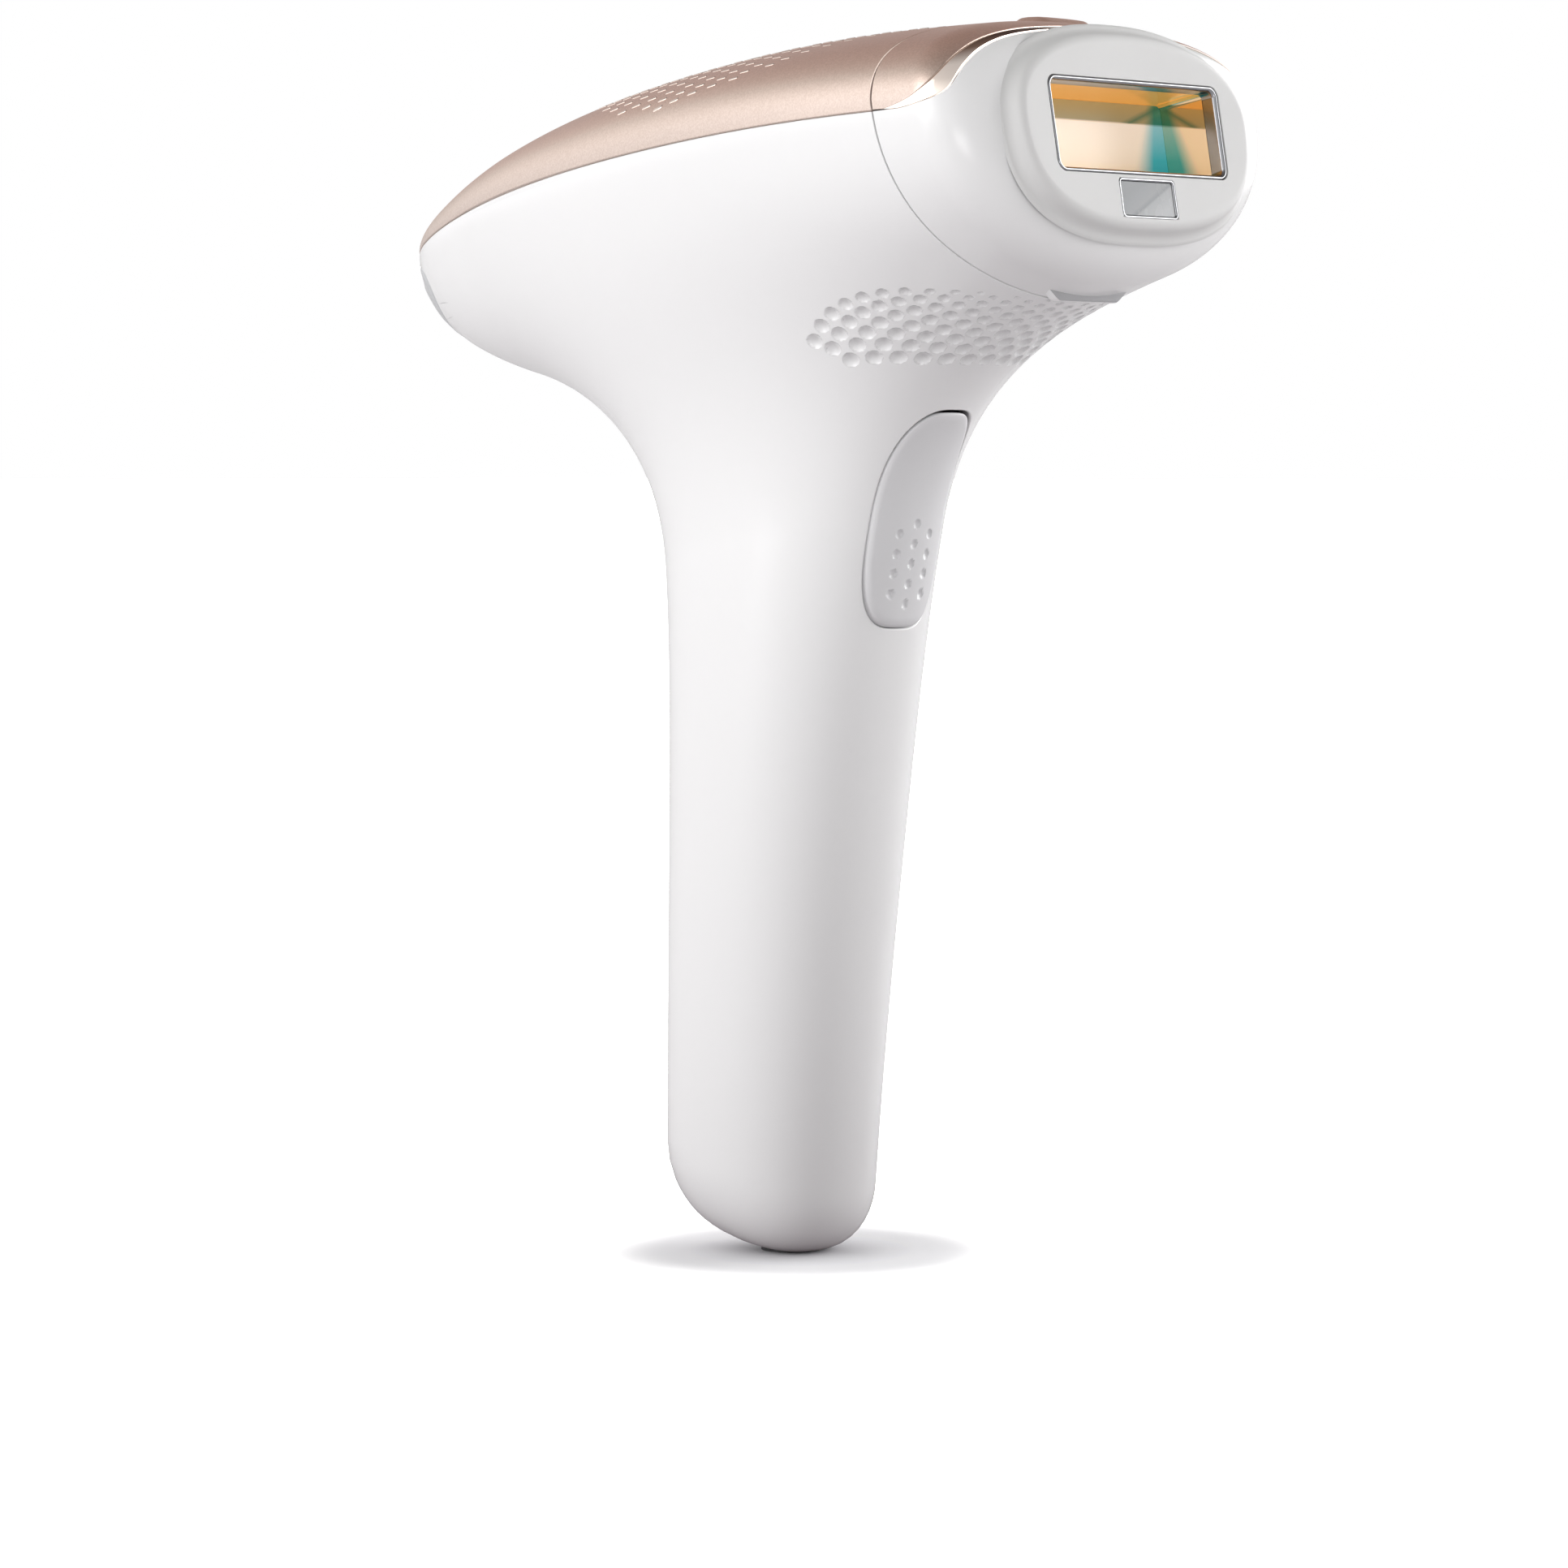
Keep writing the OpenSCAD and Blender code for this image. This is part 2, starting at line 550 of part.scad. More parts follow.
// y and z of the dimples: a middle column and one on each side
dimple_pitch = 2.86;
dimples = concat([for(i=[0:4]) [0,106.4-dimple_pitch*i]],
  [for(i=[0:3]) for(y=[-3.2,3.2]) [y,104.97-dimple_pitch*i]]);
// share of the outline and depth of each outer ring
button_rings = [[1,0.75],[0.985,0.4],[0.95,0.12],[0.88,0],[0.6,0],[0.3,0]];
module flash_button() {
  function edge(a,share) = let(rim = button_edge(a,0))
    [rim[0]*share,button_z+(rim[1]-button_z)*share];
  function out(a,share,depth) = let(at = edge(a,share))
    front_skin(at[0],at[1])+[proud(at[1])*(1-0.25*share*share)-depth,0,0];
  function back(a,share) = let(at = edge(a,share)) front_skin(at[0],at[1])-[2.6,0,0];
  color([0.88,0.88,0.89]) resize([0,0,0]) difference() {
    union() {
      stack(concat(
        [for(share=[0.5,1]) [for(a=[0:10:350]) back(a,share)]],
        [for(ring=button_rings) [for(a=[0:10:350]) out(a,ring[0],ring[1])]]));
      // hinge block and barrel, then the boss that meets the switch
      slab(pin_x-0.4,24.4,-4.4,4.4,pin_z-2.6,pin_z+1.6);
      rod_y(pin_x,-4.4,4.4,pin_z,2.6,20);
      rod_x(19.35,20.2,0,switch_z,2.2,16);
    }
    rod_y(pin_x,-6,6,pin_z,1.25,24);
    for(at=dimples)
      translate(front_skin(at[0],at[1])+[proud(at[1])*0.98+0.55,0,0]) sphere(r=0.88,$fn=10);
  }
}
module button_pin() { color(steel) rod_y(pin_x,-7.6,7.6,pin_z,1.2); }
module button_spring() {
  steps = 50;
  coil_r = 2.3;
  color(steel) wire([for(i=[0:steps])
    [12.4+7.6*i/steps,coil_r*cos(i*36),107+coil_r*sin(i*36)]],0.3,5);
}
module flash_switch() {
  color(dark) difference() {
    slab(11.6,17,-3.2,3.2,switch_z-3.6,switch_z+3.6);
    rod_x(14.4,18,0,switch_z,1.06);
  }
  color(steel) for(y=[-2,2]) slab(12.6,13.1,y-0.35,y+0.35,92.9,94.4);
}
module switch_plunger() { color([0.75,0.2,0.15]) rod_x(15.6,19.3,0,switch_z,1.0); }

// ----------------------------------------------------------- control panel
// places on the panel are in its local x and y
power_x = -2;
function light_at(i) = [4.3-0.25*i*i,i*2.6];
module panel_disc(x,y,z,h,r,k) { translate([x,y,z]) cylinder(h=h,r=r,$fn=k); }
module control_panel() {
  out = [-cos(panel_tilt),0,-sin(panel_tilt)];
  up = [-sin(panel_tilt),0,cos(panel_tilt)];
  function top(at) = skin(panel_c-9*out+at[0]*up+[0,at[1],0],out,40)+0.05*out;
  function back(at) = top([at[0]>0 ? 0.78*at[0] : at[0],at[1]])-2.4*out;
  color([0.78,0.78,0.79]) resize([0,0,0]) difference() {
    stack(concat(
      [for(share=[0.5,1]) [for(a=[0:10:350]) back(panel_edge(a,share,0))]],
      // share of the outline and depth of each outer ring
      [for(ring=[[1,0.35],[0.96,0],[0.7,0],[0.35,0]])
        [for(a=[0:10:350]) top(panel_edge(a,ring[0],0))-ring[1]*out]]));
    at_panel() union() {
      panel_disc(power_x,0,-9,16,3.7,32);
      for(i=[-2:2]) panel_disc(light_at(i)[0],light_at(i)[1],-9,16,0.72,12);
    }
  }
}
module power_button() {
  color([0.86,0.86,0.87]) at_panel() union() {
    panel_disc(power_x,0,-3.9,4.1,3.64,32);
    panel_disc(power_x,0,0.19,0.2,3.0,32);
  }
}
module level_lights() {
  color([0.9,0.92,0.95]) at_panel() union() {
    for(i=[-2:2]) panel_disc(light_at(i)[0],light_at(i)[1],-4.8,3.1+0.3*abs(i),0.7,12);
    slab(2.4,4.8,-4.0,4.0,-5.6,-4.6);
    slab(2.4,3.9,-5.7,5.7,-5.6,-4.6);
  }
}
module power_switch() {
  color(dark) at_panel() difference() {
    slab(power_x-3,power_x+3,-3,3,-8.6,-5.6);
    panel_disc(power_x,0,-7.6,3,1.56,24);
  }
}
module power_plunger() {
  color([0.8,0.8,0.8]) at_panel() panel_disc(power_x,0,-6.7,2.75,1.5,24);
}
module control_board() {
  color(board_green) at_panel() slab(-5.5,3.5,-6.6,6.6,-10.0,-8.7);
}

// -------------------------------------------------------------- lamp module
// x along the face normal, as in the attachment
bulkhead_x0 = -22;
bulkhead_x1 = -19.2;
behind_bulkhead = bulkhead_x0-0.05;
eye_z = -10.3;
contact_y = 14;
contact_z = -12.5;
screw_y = 26.6;
tube_x = -30.4;
tube_r = 2.6;
reflector_x = -29.6;
module bulkhead() {
  color([0.55,0.56,0.58]) at_face() difference() {
    lid(bulkhead_x0,bulkhead_x1,3.4,false);
    pane(-23,-18,window_w+2.4,12.6,0.6);
    pane(-21.3,-18,window_w+5.3,14.5,0.6);
    rod_x(-23,-18,0,eye_z,1.95);
    for(side=[1,-1]) {
      rod_x(-23,-18,side*peg_y,peg_z,1.56);
      rod_x(-23,-18,side*contact_y,contact_z,0.86);
      rod_x(-23,-18,side*screw_y,0,1.25);
    }
  }
}
module filter_glass() {
  color([0.85,0.75,0.5,0.5]) at_face() pane(-21.25,-19.3,window_w+5.2,14.4,0.55);
}
module lamp_reflector() {
  function arc(r,angles) = [for(a=angles) [reflector_x-r*cos(a),r*sin(a)]];
  color(gold) at_face() translate([0,18.4,0]) rotate([90,0,0]) linear_extrude(36.8)
    polygon(concat(arc(6.9,[-90:15:90]),
      [[behind_bulkhead,7.1],[behind_bulkhead,6.5]],
      arc(6.3,[90:-15:-90]),
      [[behind_bulkhead,-6.5],[behind_bulkhead,-7.1]]));
}
module flash_tube() {
  color([0.9,0.93,0.96,0.5]) at_face() rod_y(tube_x,-23.4,23.4,0,tube_r);
  color(steel) at_face() for(side=[1,-1]) side_rod(side,tube_x,23.4,24,0,0.8,16);
}
module tube_end(side) {
  color([0.92,0.9,0.86]) at_face() difference() {
    side_rod(side,tube_x,21.2,26.6,0,3.4);
    side_rod(side,tube_x,21,24.05,0,tube_r+0.04);
  }
}
module tube_end_left() { tube_end(1); }
module tube_end_right() { tube_end(-1); }
module lamp_holder() {
  color(dark) at_face() difference() {
    union() {
      for(side=[1,-1]) {
        side_slab(side,-39,behind_bulkhead,18.5,20.7,-7.4,7.4);
        side_slab(side,-24.4,behind_bulkhead,20.6,29,-3.4,3.4);
      }
      slab(-39,-37.2,-20.7,20.7,-5,5);
    }
    rod_y(tube_x,-30,30,0,tube_r+0.1);
    for(side=[1,-1]) rod_x(-26,-20,side*screw_y,0,1.25);
  }
}
module bulkhead_screws() {
  color(steel) at_face() for(side=[1,-1]) difference() {
    union() {
      rod_x(-26,bulkhead_x1,side*screw_y,0,1.22);
      rod_x(bulkhead_x1,-17.9,side*screw_y,0,2.2);
    }
    for(a=[0,90])
      translate([-18.2,side*screw_y,0]) rotate([a,0,0]) slab(-0.2,1,-1.3,1.3,-0.25,0.25);
  }
}
module skin_sensor() {
  color(board_green) at_face() slab(-24.4,-23.2,-8,8,-17.5,-8.0);
  color(dark) at_face() difference() {
    rod_x(-23.2,-17.6,0,eye_z,1.9);
    rod_x(-20,-17,0,eye_z,1.3);
  }
}
module contact_pins() {
  color(gold) at_face() for(side=[1,-1]) {
    rod_x(-24,-16.4,side*contact_y,contact_z,0.82,16);
    rod_x(-22.6,behind_bulkhead,side*contact_y,contact_z,1.5,16);
  }
}

// ---------------------------------------------------------------------- fan
fan_c = [12,0,152.3];
fan_half = 16;
module fan_housing() {
  color(dark) translate(fan_c) {
    difference() {
      slab(-5,5,-fan_half,fan_half,-fan_half,fan_half);
      rod_x(-6,6,0,0,15.0,48);
      for(y=[13.8,-13.8]) for(z=[13.8,-13.8]) rod_x(-6,6,y,z,1.2,16);
    }
    // hub on four spokes
    difference() {
      union() {
        rod_x(-5,-3.6,0,0,6.2,32);
        for(a=[45:90:315]) rotate([a,0,0]) slab(-5,-3.6,-0.9,0.9,5.5,15.4);
      }
      rod_x(-6,-3,0,0,1.2,24);
    }
  }
}
module fan_axle() { color(steel) translate(fan_c) rod_x(-5,4.4,0,0,1.18); }
module fan_rotor() {
  color([0.25,0.25,0.27]) translate(fan_c) difference() {
    union() {
      rod_x(-3.3,3.8,0,0,6.0,32);
      for(a=[0:360/7:359]) rotate([a,0,0]) translate([0.2,0,5.6]) rotate([0,0,38])
        slab(-3.6,3.6,-0.45,0.45,0,8.9);
    }
    rod_x(-4,5,0,0,1.23,24);
  }
}

// -------------------------------------------------------------- electronics
cap_y = 8.3;
cap_z = 147;
cap_r = 7.4;
module main_board() {
  color(board_green) slab(-13,7.5,-5.2,-3.6,18,112);
  color(dark) {
    slab(-9,-2,-3.6,-1.4,66,76);
    slab(0,5,-3.6,-1.8,84,92);
    slab(-10,-5,-3.6,1.4,96,104);
  }
  color([0.75,0.72,0.6]) for(z=[26,31,36]) slab(-11,-7,-3.6,-1.2,z,z+2.2);
}
module capacitor(side) {
  color([0.12,0.14,0.2]) rod_x(-46,-13,side*cap_y,cap_z,cap_r,40);
  color(steel) for(y=[-2.4,2.4]) rod_x(-13,-11.2,side*cap_y+y,cap_z,0.5,12);
}
module capacitor_left() { capacitor(1); }
module capacitor_right() { capacitor(-1); }
module trigger_transformer() {
  color([0.2,0.2,0.22]) slab(20,32,-6.5,6.5,136.05,142.4);
  color([0.72,0.45,0.2]) slab(22.5,29.5,-5,5,142.4,143.6);
}
module charging_transformer() {
  color([0.22,0.22,0.24]) difference() {
    slab(-6,8,-3.55,6.4,42,58);
    slab(-3,5,3,7,45,55);
  }
  color([0.8,0.65,0.3]) slab(-2.8,4.8,3.02,6.2,45.2,54.8);
}
// x and z outline of the spine up the handle
spine = [[-10,17],[4,17],[8,50],[9.4,90],[9.4,122],[3,134.2],[-12.5,134.2],[-12.8,60]];
module chassis() {
  color([0.35,0.36,0.38]) difference() {
    union() {
      translate([0,-6.4,0]) rotate([90,0,0]) linear_extrude(1.6) polygon(spine);
      // feet that carry the board
      for(z=[24,62,106]) for(x=[-11,4.5]) slab(x,x+2,-6.5,-5.22,z,z+3);
      // clamp round the power socket
      slab(-6,6,-7.6,6.4,13.4,17.6);
      // brackets for the button pin, the switch and the spring
      for(side=[1,-1]) {
        side_slab(side,8,pin_x,4.7,6.6,pin_z-2,pin_z+2);
        side_rod(side,pin_x,4.7,6.6,pin_z,2.0,20);
      }
      slab(7.8,9.4,-7.5,6.6,pin_z-3,pin_z+3);
      slab(7.8,11.5,-8,3.2,92.6,102.4);
      slab(7.8,12.0,-8,2.8,103.6,110.4);
      // tray in the head, with cradles, posts and arms to the bulkhead
      slab(-41,34,-9,9,134.1,136);
      for(cradle=[[-40,9.6],[-20,15]])
        slab(cradle[0],cradle[0]+2,-cradle[1],cradle[1],135.9,144);
      for(side=[1,-1]) side_slab(side,29.5,34,7.5,11,134.1,145);
      at_face() for(side=[1,-1]) side_slab(side,-36,behind_bulkhead,8,11,-16.8,-14.4);
    }
    cylinder(h=20,r=socket_r+0.02,$fn=40);
    for(side=[1,-1]) rod_x(-47,-12,side*cap_y,cap_z,cap_r+0.05,40);
    rod_y(pin_x,-8,8,pin_z,1.2);
    slab(-46,-14,-1.2,1.2,136.2,150);
  }
}
module dc_socket() {
  color(dark) difference() {
    cylinder(h=17,r=socket_r,$fn=40);
    translate([0,0,-1]) cylinder(h=10.5,r=2.75,$fn=32);
  }
  color(steel) for(y=[2.4,-2.4]) slab(-0.9,0.9,y-0.25,y+0.25,17,19.4);
}
// socket to the control board
red_path = [[0,2.4,19.9],[0.5,5,25],[-1,8.4,38],[-2,9.2,80],[-4,9.8,116],
  [-12,10.5,129.5],[-24,11.5,131.6],[-32,11.4,134.6],[-40.5,11.0,137.9],
  [-46,9.4,138.2],[-50.5,6.6,140.4],[-55,4.2,142.8],[-60.6,2.4,144.6]];
black_path = [[0,-2.4,19.9],[-1.5,1.0,24],[-4.5,8.0,38],[-5.6,8.8,80],[-8,9.4,114],
  [-15,7.6,129.4],[-26,8.2,130.9],[-35,6.4,132.4],[-42,2.8,133.0],
  [-47,1.2,135.4],[-52,0.3,139.6],[-60.4,-0.6,144.8]];
// tube end to capacitor on the +Y side
lamp_path = [[33.6,27.6,155.2],[28,26.6,154.2],[20,25.0,152.5],[10,23.5,151],
  [-2,20,149],[-8,13,147.6],[-11.0,cap_y,cap_z]];
module power_wires() {
  color([0.55,0.1,0.1]) cable(red_path,0.8);
  color([0.1,0.1,0.1]) cable(black_path,0.8);
}
module lamp_wires() {
  color([0.85,0.85,0.8]) for(side=[1,-1])
    cable([for(point=lamp_path) [point[0],side*point[1],point[2]]],0.75);
}

main_housing();
top_cover();
attachment_shell();
attachment_cap();
attachment_trim();
face_plate();
window_frame();
light_tunnel();
attachment_filter();
sensor_window();
sensor_frame();
attachment_carrier();
flash_button();
button_pin();
button_spring();
flash_switch();
switch_plunger();
control_panel();
power_button();
power_switch();
power_plunger();
level_lights();
control_board();
bulkhead();
filter_glass();
lamp_reflector();
flash_tube();
tube_end_left();
tube_end_right();
lamp_holder();
skin_sensor();
contact_pins();
bulkhead_screws();
fan_housing();
fan_rotor();
fan_axle();
main_board();
capacitor_left();
capacitor_right();
trigger_transformer();
charging_transformer();
chassis();
dc_socket();
power_wires();
lamp_wires();
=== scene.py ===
import bpy, math
import numpy as np
from mathutils import Vector, Matrix
from mathutils.geometry import delaunay_2d_cdt


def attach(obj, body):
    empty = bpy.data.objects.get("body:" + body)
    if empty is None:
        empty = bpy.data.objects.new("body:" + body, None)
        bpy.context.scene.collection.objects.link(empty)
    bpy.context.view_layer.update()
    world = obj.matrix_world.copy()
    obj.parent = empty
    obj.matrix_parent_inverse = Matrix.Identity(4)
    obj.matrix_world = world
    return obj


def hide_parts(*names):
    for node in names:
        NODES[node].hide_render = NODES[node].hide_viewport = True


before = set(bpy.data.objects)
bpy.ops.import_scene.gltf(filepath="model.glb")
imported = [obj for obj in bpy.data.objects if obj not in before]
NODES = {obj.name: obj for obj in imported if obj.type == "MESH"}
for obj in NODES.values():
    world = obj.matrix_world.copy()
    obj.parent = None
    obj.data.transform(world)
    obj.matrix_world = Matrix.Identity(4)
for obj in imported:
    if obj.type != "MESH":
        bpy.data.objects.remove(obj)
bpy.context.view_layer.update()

# ------------------------------------------------------------------ the shape
# the same smooth body as the CAD model, in millimetres
W = [16.6, 25.2, 31.6, 35.9, 38.1]
HT = [8.2, 9.8, 11.5, 13.3, 13.1, 10.2]
HB = [17.1, 32.2, 38.1, 34.6, 21.4, -2.0]
ZM = [129.1, 143.8, 153.6, 158.7, 162.1, 163.0, 162.2]
XC = [-5.3, -4.5, -2.9, -0.6, 1.7, 3.5, 4.4, 4.3]
AX = [14.1, 15.0, 16.0, 17.2, 19.3, 26.1, 39.2, 58.8]
BX = [13.2, 13.6, 14.6, 16.0, 16.7, 16.8, 16.7, 16.3]
LR, PR, KB, BETA, ZB, KF, N1, MM, RF, OFF = 110.4, 2.13, 16.7, 14.4, 0.76, 10.5, 2.8, 2.3, 7.5, 2.3
XR = 36.0
FC = np.array([65.1, 0.0, 160.9])
TILT = math.radians(10.2)
FN = np.array([math.cos(TILT), 0.0, math.sin(TILT)])
FU = np.array([-math.sin(TILT), 0.0, math.cos(TILT)])
FY = np.array([0.0, 1.0, 0.0])


def bs(c, u):
    c = np.asarray(c, float)
    n = len(c)
    u = np.clip(u, 0, n - 3 - 1e-6)
    i = np.floor(u).astype(int)
    t = u - i
    return ((1 - t) ** 3 * c[i] + (3 * t ** 3 - 6 * t ** 2 + 4) * c[i + 1] + (-3 * t ** 3 + 3 * t ** 2 + 3 * t + 1) * c[i + 2] + t ** 3 * c[i + 3]) / 6


def mid_z(x):
    return bs(ZM, (np.asarray(x, float) + 84) / 154 * 4)


def head(P):
    x, y, z = P[..., 0], P[..., 1], P[..., 2]
    u = (x + 84) / 154
    w, ht, hb, zm = bs(W, u * 2), bs(HT, u * 3), bs(HB, u * 3), bs(ZM, u * 4)
    dz = z - zm
    n = np.where(dz > 0, N1, 2.0)
    h = np.where(dz > 0, ht, hb)
    rho = ((np.abs(y) / w + 1e-9) ** n + (np.abs(dz) / h + 1e-9) ** n) ** (1 / n)
    tr = np.clip((XR - x) / LR, 0, None)
    return ((rho ** PR + tr ** PR) ** (1 / PR) - 1) * 24


def hand(P):
    x, y, z = P[..., 0], P[..., 1], P[..., 2]
    u = z / 160 * 5
    xc, a, b = bs(XC, u), bs(AX, u), bs(BX, u)
    rho = ((np.abs(x - xc) / a) ** MM + (np.abs(y) / b) ** MM) ** (1 / MM)
    tz = np.clip((z - 118) / 40, 0, None)
    G = ((rho ** 3 + tz ** 3) ** (1 / 3) - 1) * 18
    be = math.radians(BETA)
    pl = -(z - ZB) * math.cos(be) - x * math.sin(be)
    q = np.sqrt(np.maximum(G + KF, 0) ** 2 + np.maximum(pl + KF, 0) ** 2)
    return np.minimum(np.maximum(G + KF, pl + KF), 0) - KF + q


def body(P):
    a, b = head(P), hand(P)
    h = np.clip(.5 + .5 * (b - a) / KB, 0, 1)
    return b * (1 - h) + a * h - KB * h * (1 - h)


def front(P):
    g = body(P)
    pl = (P - (FC - OFF * FN)) @ FN
    q = np.sqrt(np.maximum(g + RF, 0) ** 2 + np.maximum(pl + RF, 0) ** 2)
    return np.minimum(np.maximum(g + RF, pl + RF), 0) - RF + q


def unit(v):
    return v / np.maximum(np.linalg.norm(v, axis=-1, keepdims=True), 1e-12)


def grad(F, P, e=0.02):
    g = np.zeros_like(P)
    for k in range(3):
        d = np.zeros(3)
        d[k] = e
        g[..., k] = F(P + d) - F(P - d)
    return unit(g)


def cast(F, O, D, far, n=32):
    O, D = np.broadcast_arrays(np.asarray(O, float), np.asarray(D, float))
    lo = np.full(O.shape[:-1], 0.01)
    hi = np.full(O.shape[:-1], float(far))
    for _ in range(n):
        m = 0.5 * (lo + hi)
        ins = F(O + m[..., None] * D) < 0
        lo = np.where(ins, m, lo)
        hi = np.where(ins, hi, m)
    return O + lo[..., None] * D


def flip(P):
    return P * np.array([1.0, -1.0, 1.0])


def seam_x(z):
    d = np.maximum(0, 164 - z)
    return 46.5 + 0.2 * d + 0.00013 * d ** 3


CZ = float(mid_z(seam_x(mid_z(46.8))))
TX = XR - LR  # tail tip


def seam_pt(t, back=0.0):
    """Seam between handset and attachment at angle t (degrees), moved back along x."""
    t = np.radians(np.asarray(t, float))
    lo, hi = np.full(t.shape, 4.0), np.full(t.shape, 50.0)
    for _ in range(32):
        r = 0.5 * (lo + hi)
        z = CZ + r * np.sin(t)
        P = np.stack([seam_x(z) - back, r * np.cos(t), z], -1)
        ins = body(P) < 0
        lo, hi = np.where(ins, r, lo), np.where(ins, hi, r)
    z = CZ + lo * np.sin(t)
    return np.stack([seam_x(z) - back, lo * np.cos(t), z], -1)


def half_w(x):
    tr = np.clip((XR - x) / LR, 0, 1)
    return bs(W, (x + 84) / 154 * 2) * (1 - tr ** PR) ** (1 / PR)


CX = float(seam_pt(np.array([0.0]))[0, 0])


def part_pt(v):
    """Parting line of the cover, v from 0 at the tail to 1 at the seam."""
    x = TX + (CX - TX) * np.asarray(v, float) ** 2
    return np.stack([x, half_w(x), mid_z(x)], -1)


def even(fn, a, b, n, weight=None, m=1500):
    """n parameter values between a and b at even spacing along the curve fn."""
    v = np.linspace(a, b, m)
    P = fn(v)
    s = np.linalg.norm(np.diff(P, axis=0), axis=1)
    if weight is not None:
        s = s * weight(0.5 * (P[1:] + P[:-1]))
    s = np.concatenate([[0], np.cumsum(s)])
    return np.interp(np.linspace(0, s[-1], n), s, v)


# ------------------------------------------------------------- mesh gathering
class Skin:
    def __init__(self):
        self.V, self.N, self.F, self.M, self.n = [], [], [], [], 0

    def grid(self, P, N, wrap=False, mat=0, keep=None):
        r, c = P.shape[:2]
        idx = np.arange(r * c).reshape(r, c) + self.n
        if wrap:
            idx = np.concatenate([idx, idx[:, :1]], 1)
        q = np.stack([idx[:-1, :-1], idx[:-1, 1:], idx[1:, 1:], idx[1:, :-1]], -1).reshape(-1, 4)
        V, NN = P.reshape(-1, 3), N.reshape(-1, 3)
        if keep is not None:
            k = keep.reshape(-1)
            q = q[k[q - self.n].all(1)]
        L = q - self.n
        cr = np.cross(V[L[:, 2]] - V[L[:, 0]], V[L[:, 3]] - V[L[:, 1]])
        if (cr * NN[L].mean(1)).sum() < 0:
            q = q[:, ::-1]
            cr = -cr
        q = q[np.linalg.norm(cr, axis=1) > 1e-9]
        self.V.append(V)
        self.N.append(NN)
        self.F.extend(q.tolist())
        self.M.extend([mat] * len(q))
        self.n += len(V)

    def fan(self, ring, Nr, tip, Nt, mat=0):
        """Triangles from a closed ring to a tip."""
        k = len(ring)
        self.V.append(np.vstack([ring, [tip]]))
        self.N.append(np.vstack([Nr, [Nt]]))
        b = self.n
        sgn = 0
        for j in range(k):
            a, c = ring[j], ring[(j + 1) % k]
            sgn += np.dot(np.cross(a - tip, c - tip), Nt)
        for j in range(k):
            f = [b + j, b + (j + 1) % k, b + k]
            self.F.append(f if sgn > 0 else f[::-1])
            self.M.append(mat)
        self.n += k + 1

    def tris(self, V, N, F, mat=0):
        self.V.append(np.asarray(V, float))
        self.N.append(np.asarray(N, float))
        V = np.asarray(V, float)
        for f in F:
            a, b, c = V[f[0]], V[f[1]], V[f[2]]
            g = list(f) if np.dot(np.cross(b - a, c - a), N[f[0]]) > 0 else list(f)[::-1]
            self.F.append([self.n + i for i in g])
            self.M.append(mat)
        self.n += len(V)

    def lip(self, Pg, Pq, n, g, depth, k=4, wrap=False, mat=0):
        """Rounded edge from the skin boundary Pg to within g of the joint line Pq, then a wall."""
        d = Pg - Pq
        dist = np.linalg.norm(d, axis=-1, keepdims=True)
        d = d / np.maximum(dist, 1e-9)
        d = unit(d - n * (d * n).sum(-1, keepdims=True))
        r = np.maximum(dist - g, 0.01)
        P, N = [], []
        for ph in np.linspace(0, math.pi / 2, k):
            P.append(Pg - d * r * math.sin(ph) - n * r * (1 - math.cos(ph)))
            N.append(n * math.cos(ph) - d * math.sin(ph))
        P.append(Pg - d * r - n * depth)
        N.append(-d)
        self.grid(np.array(P), np.array(N), wrap=wrap, mat=mat)

    def make(self, name, bodyname, mats, scale=0.001):
        V = np.concatenate(self.V) * scale
        N = unit(np.concatenate(self.N))
        me = bpy.data.meshes.new(name)
        nf = len(self.F)
        lens = np.array([len(f) for f in self.F])
        loops = np.concatenate([np.asarray(f) for f in self.F]).astype(np.int32)
        me.vertices.add(len(V))
        me.vertices.foreach_set("co", V.astype(np.float32).ravel())
        me.loops.add(len(loops))
        me.loops.foreach_set("vertex_index", loops)
        me.polygons.add(nf)
        me.polygons.foreach_set("loop_start", np.concatenate([[0], np.cumsum(lens)[:-1]]).astype(np.int32))
        me.polygons.foreach_set("material_index", np.array(self.M, dtype=np.int32))
        for m in mats:
            me.materials.append(m)
        me.update(calc_edges=True)
        me.polygons.foreach_set("use_smooth", np.ones(nf, dtype=bool))
        me.normals_split_custom_set_from_vertices([tuple(v) for v in N])
        ob = bpy.data.objects.new(name, me)
        bpy.context.scene.collection.objects.link(ob)
        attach(ob, bodyname)
        return ob


# ------------------------------------------------------------------ materials
def new_mat(name, color, rough=0.4, metal=0.0, **kw):
    m = bpy.data.materials.new(name)
    m.use_nodes = True
    nt = m.node_tree
    b = nt.nodes["Principled BSDF"]
    b.inputs["Base Color"].default_value = (*color[:3], 1)
    b.inputs["Roughness"].default_value = rough
    b.inputs["Metallic"].default_value = metal
    for k, v in kw.items():
        b.inputs[k.replace("_", " ")].default_value = v
    return m, nt, b


def node(nt, kind, **kw):
    n = nt.nodes.new(kind)
    for k, v in kw.items():
        setattr(n, k, v)
    return n


def math_node(nt, op, a, b=None, clamp=False):
    n = nt.nodes.new("ShaderNodeMath")
    n.operation = op
    n.use_clamp = clamp
    for i, v in enumerate([a, b]):
        if v is None:
            continue
        if isinstance(v, (int, float)):
            n.inputs[i].default_value = v
        else:
            nt.links.new(v, n.inputs[i])
    return n.outputs[0]


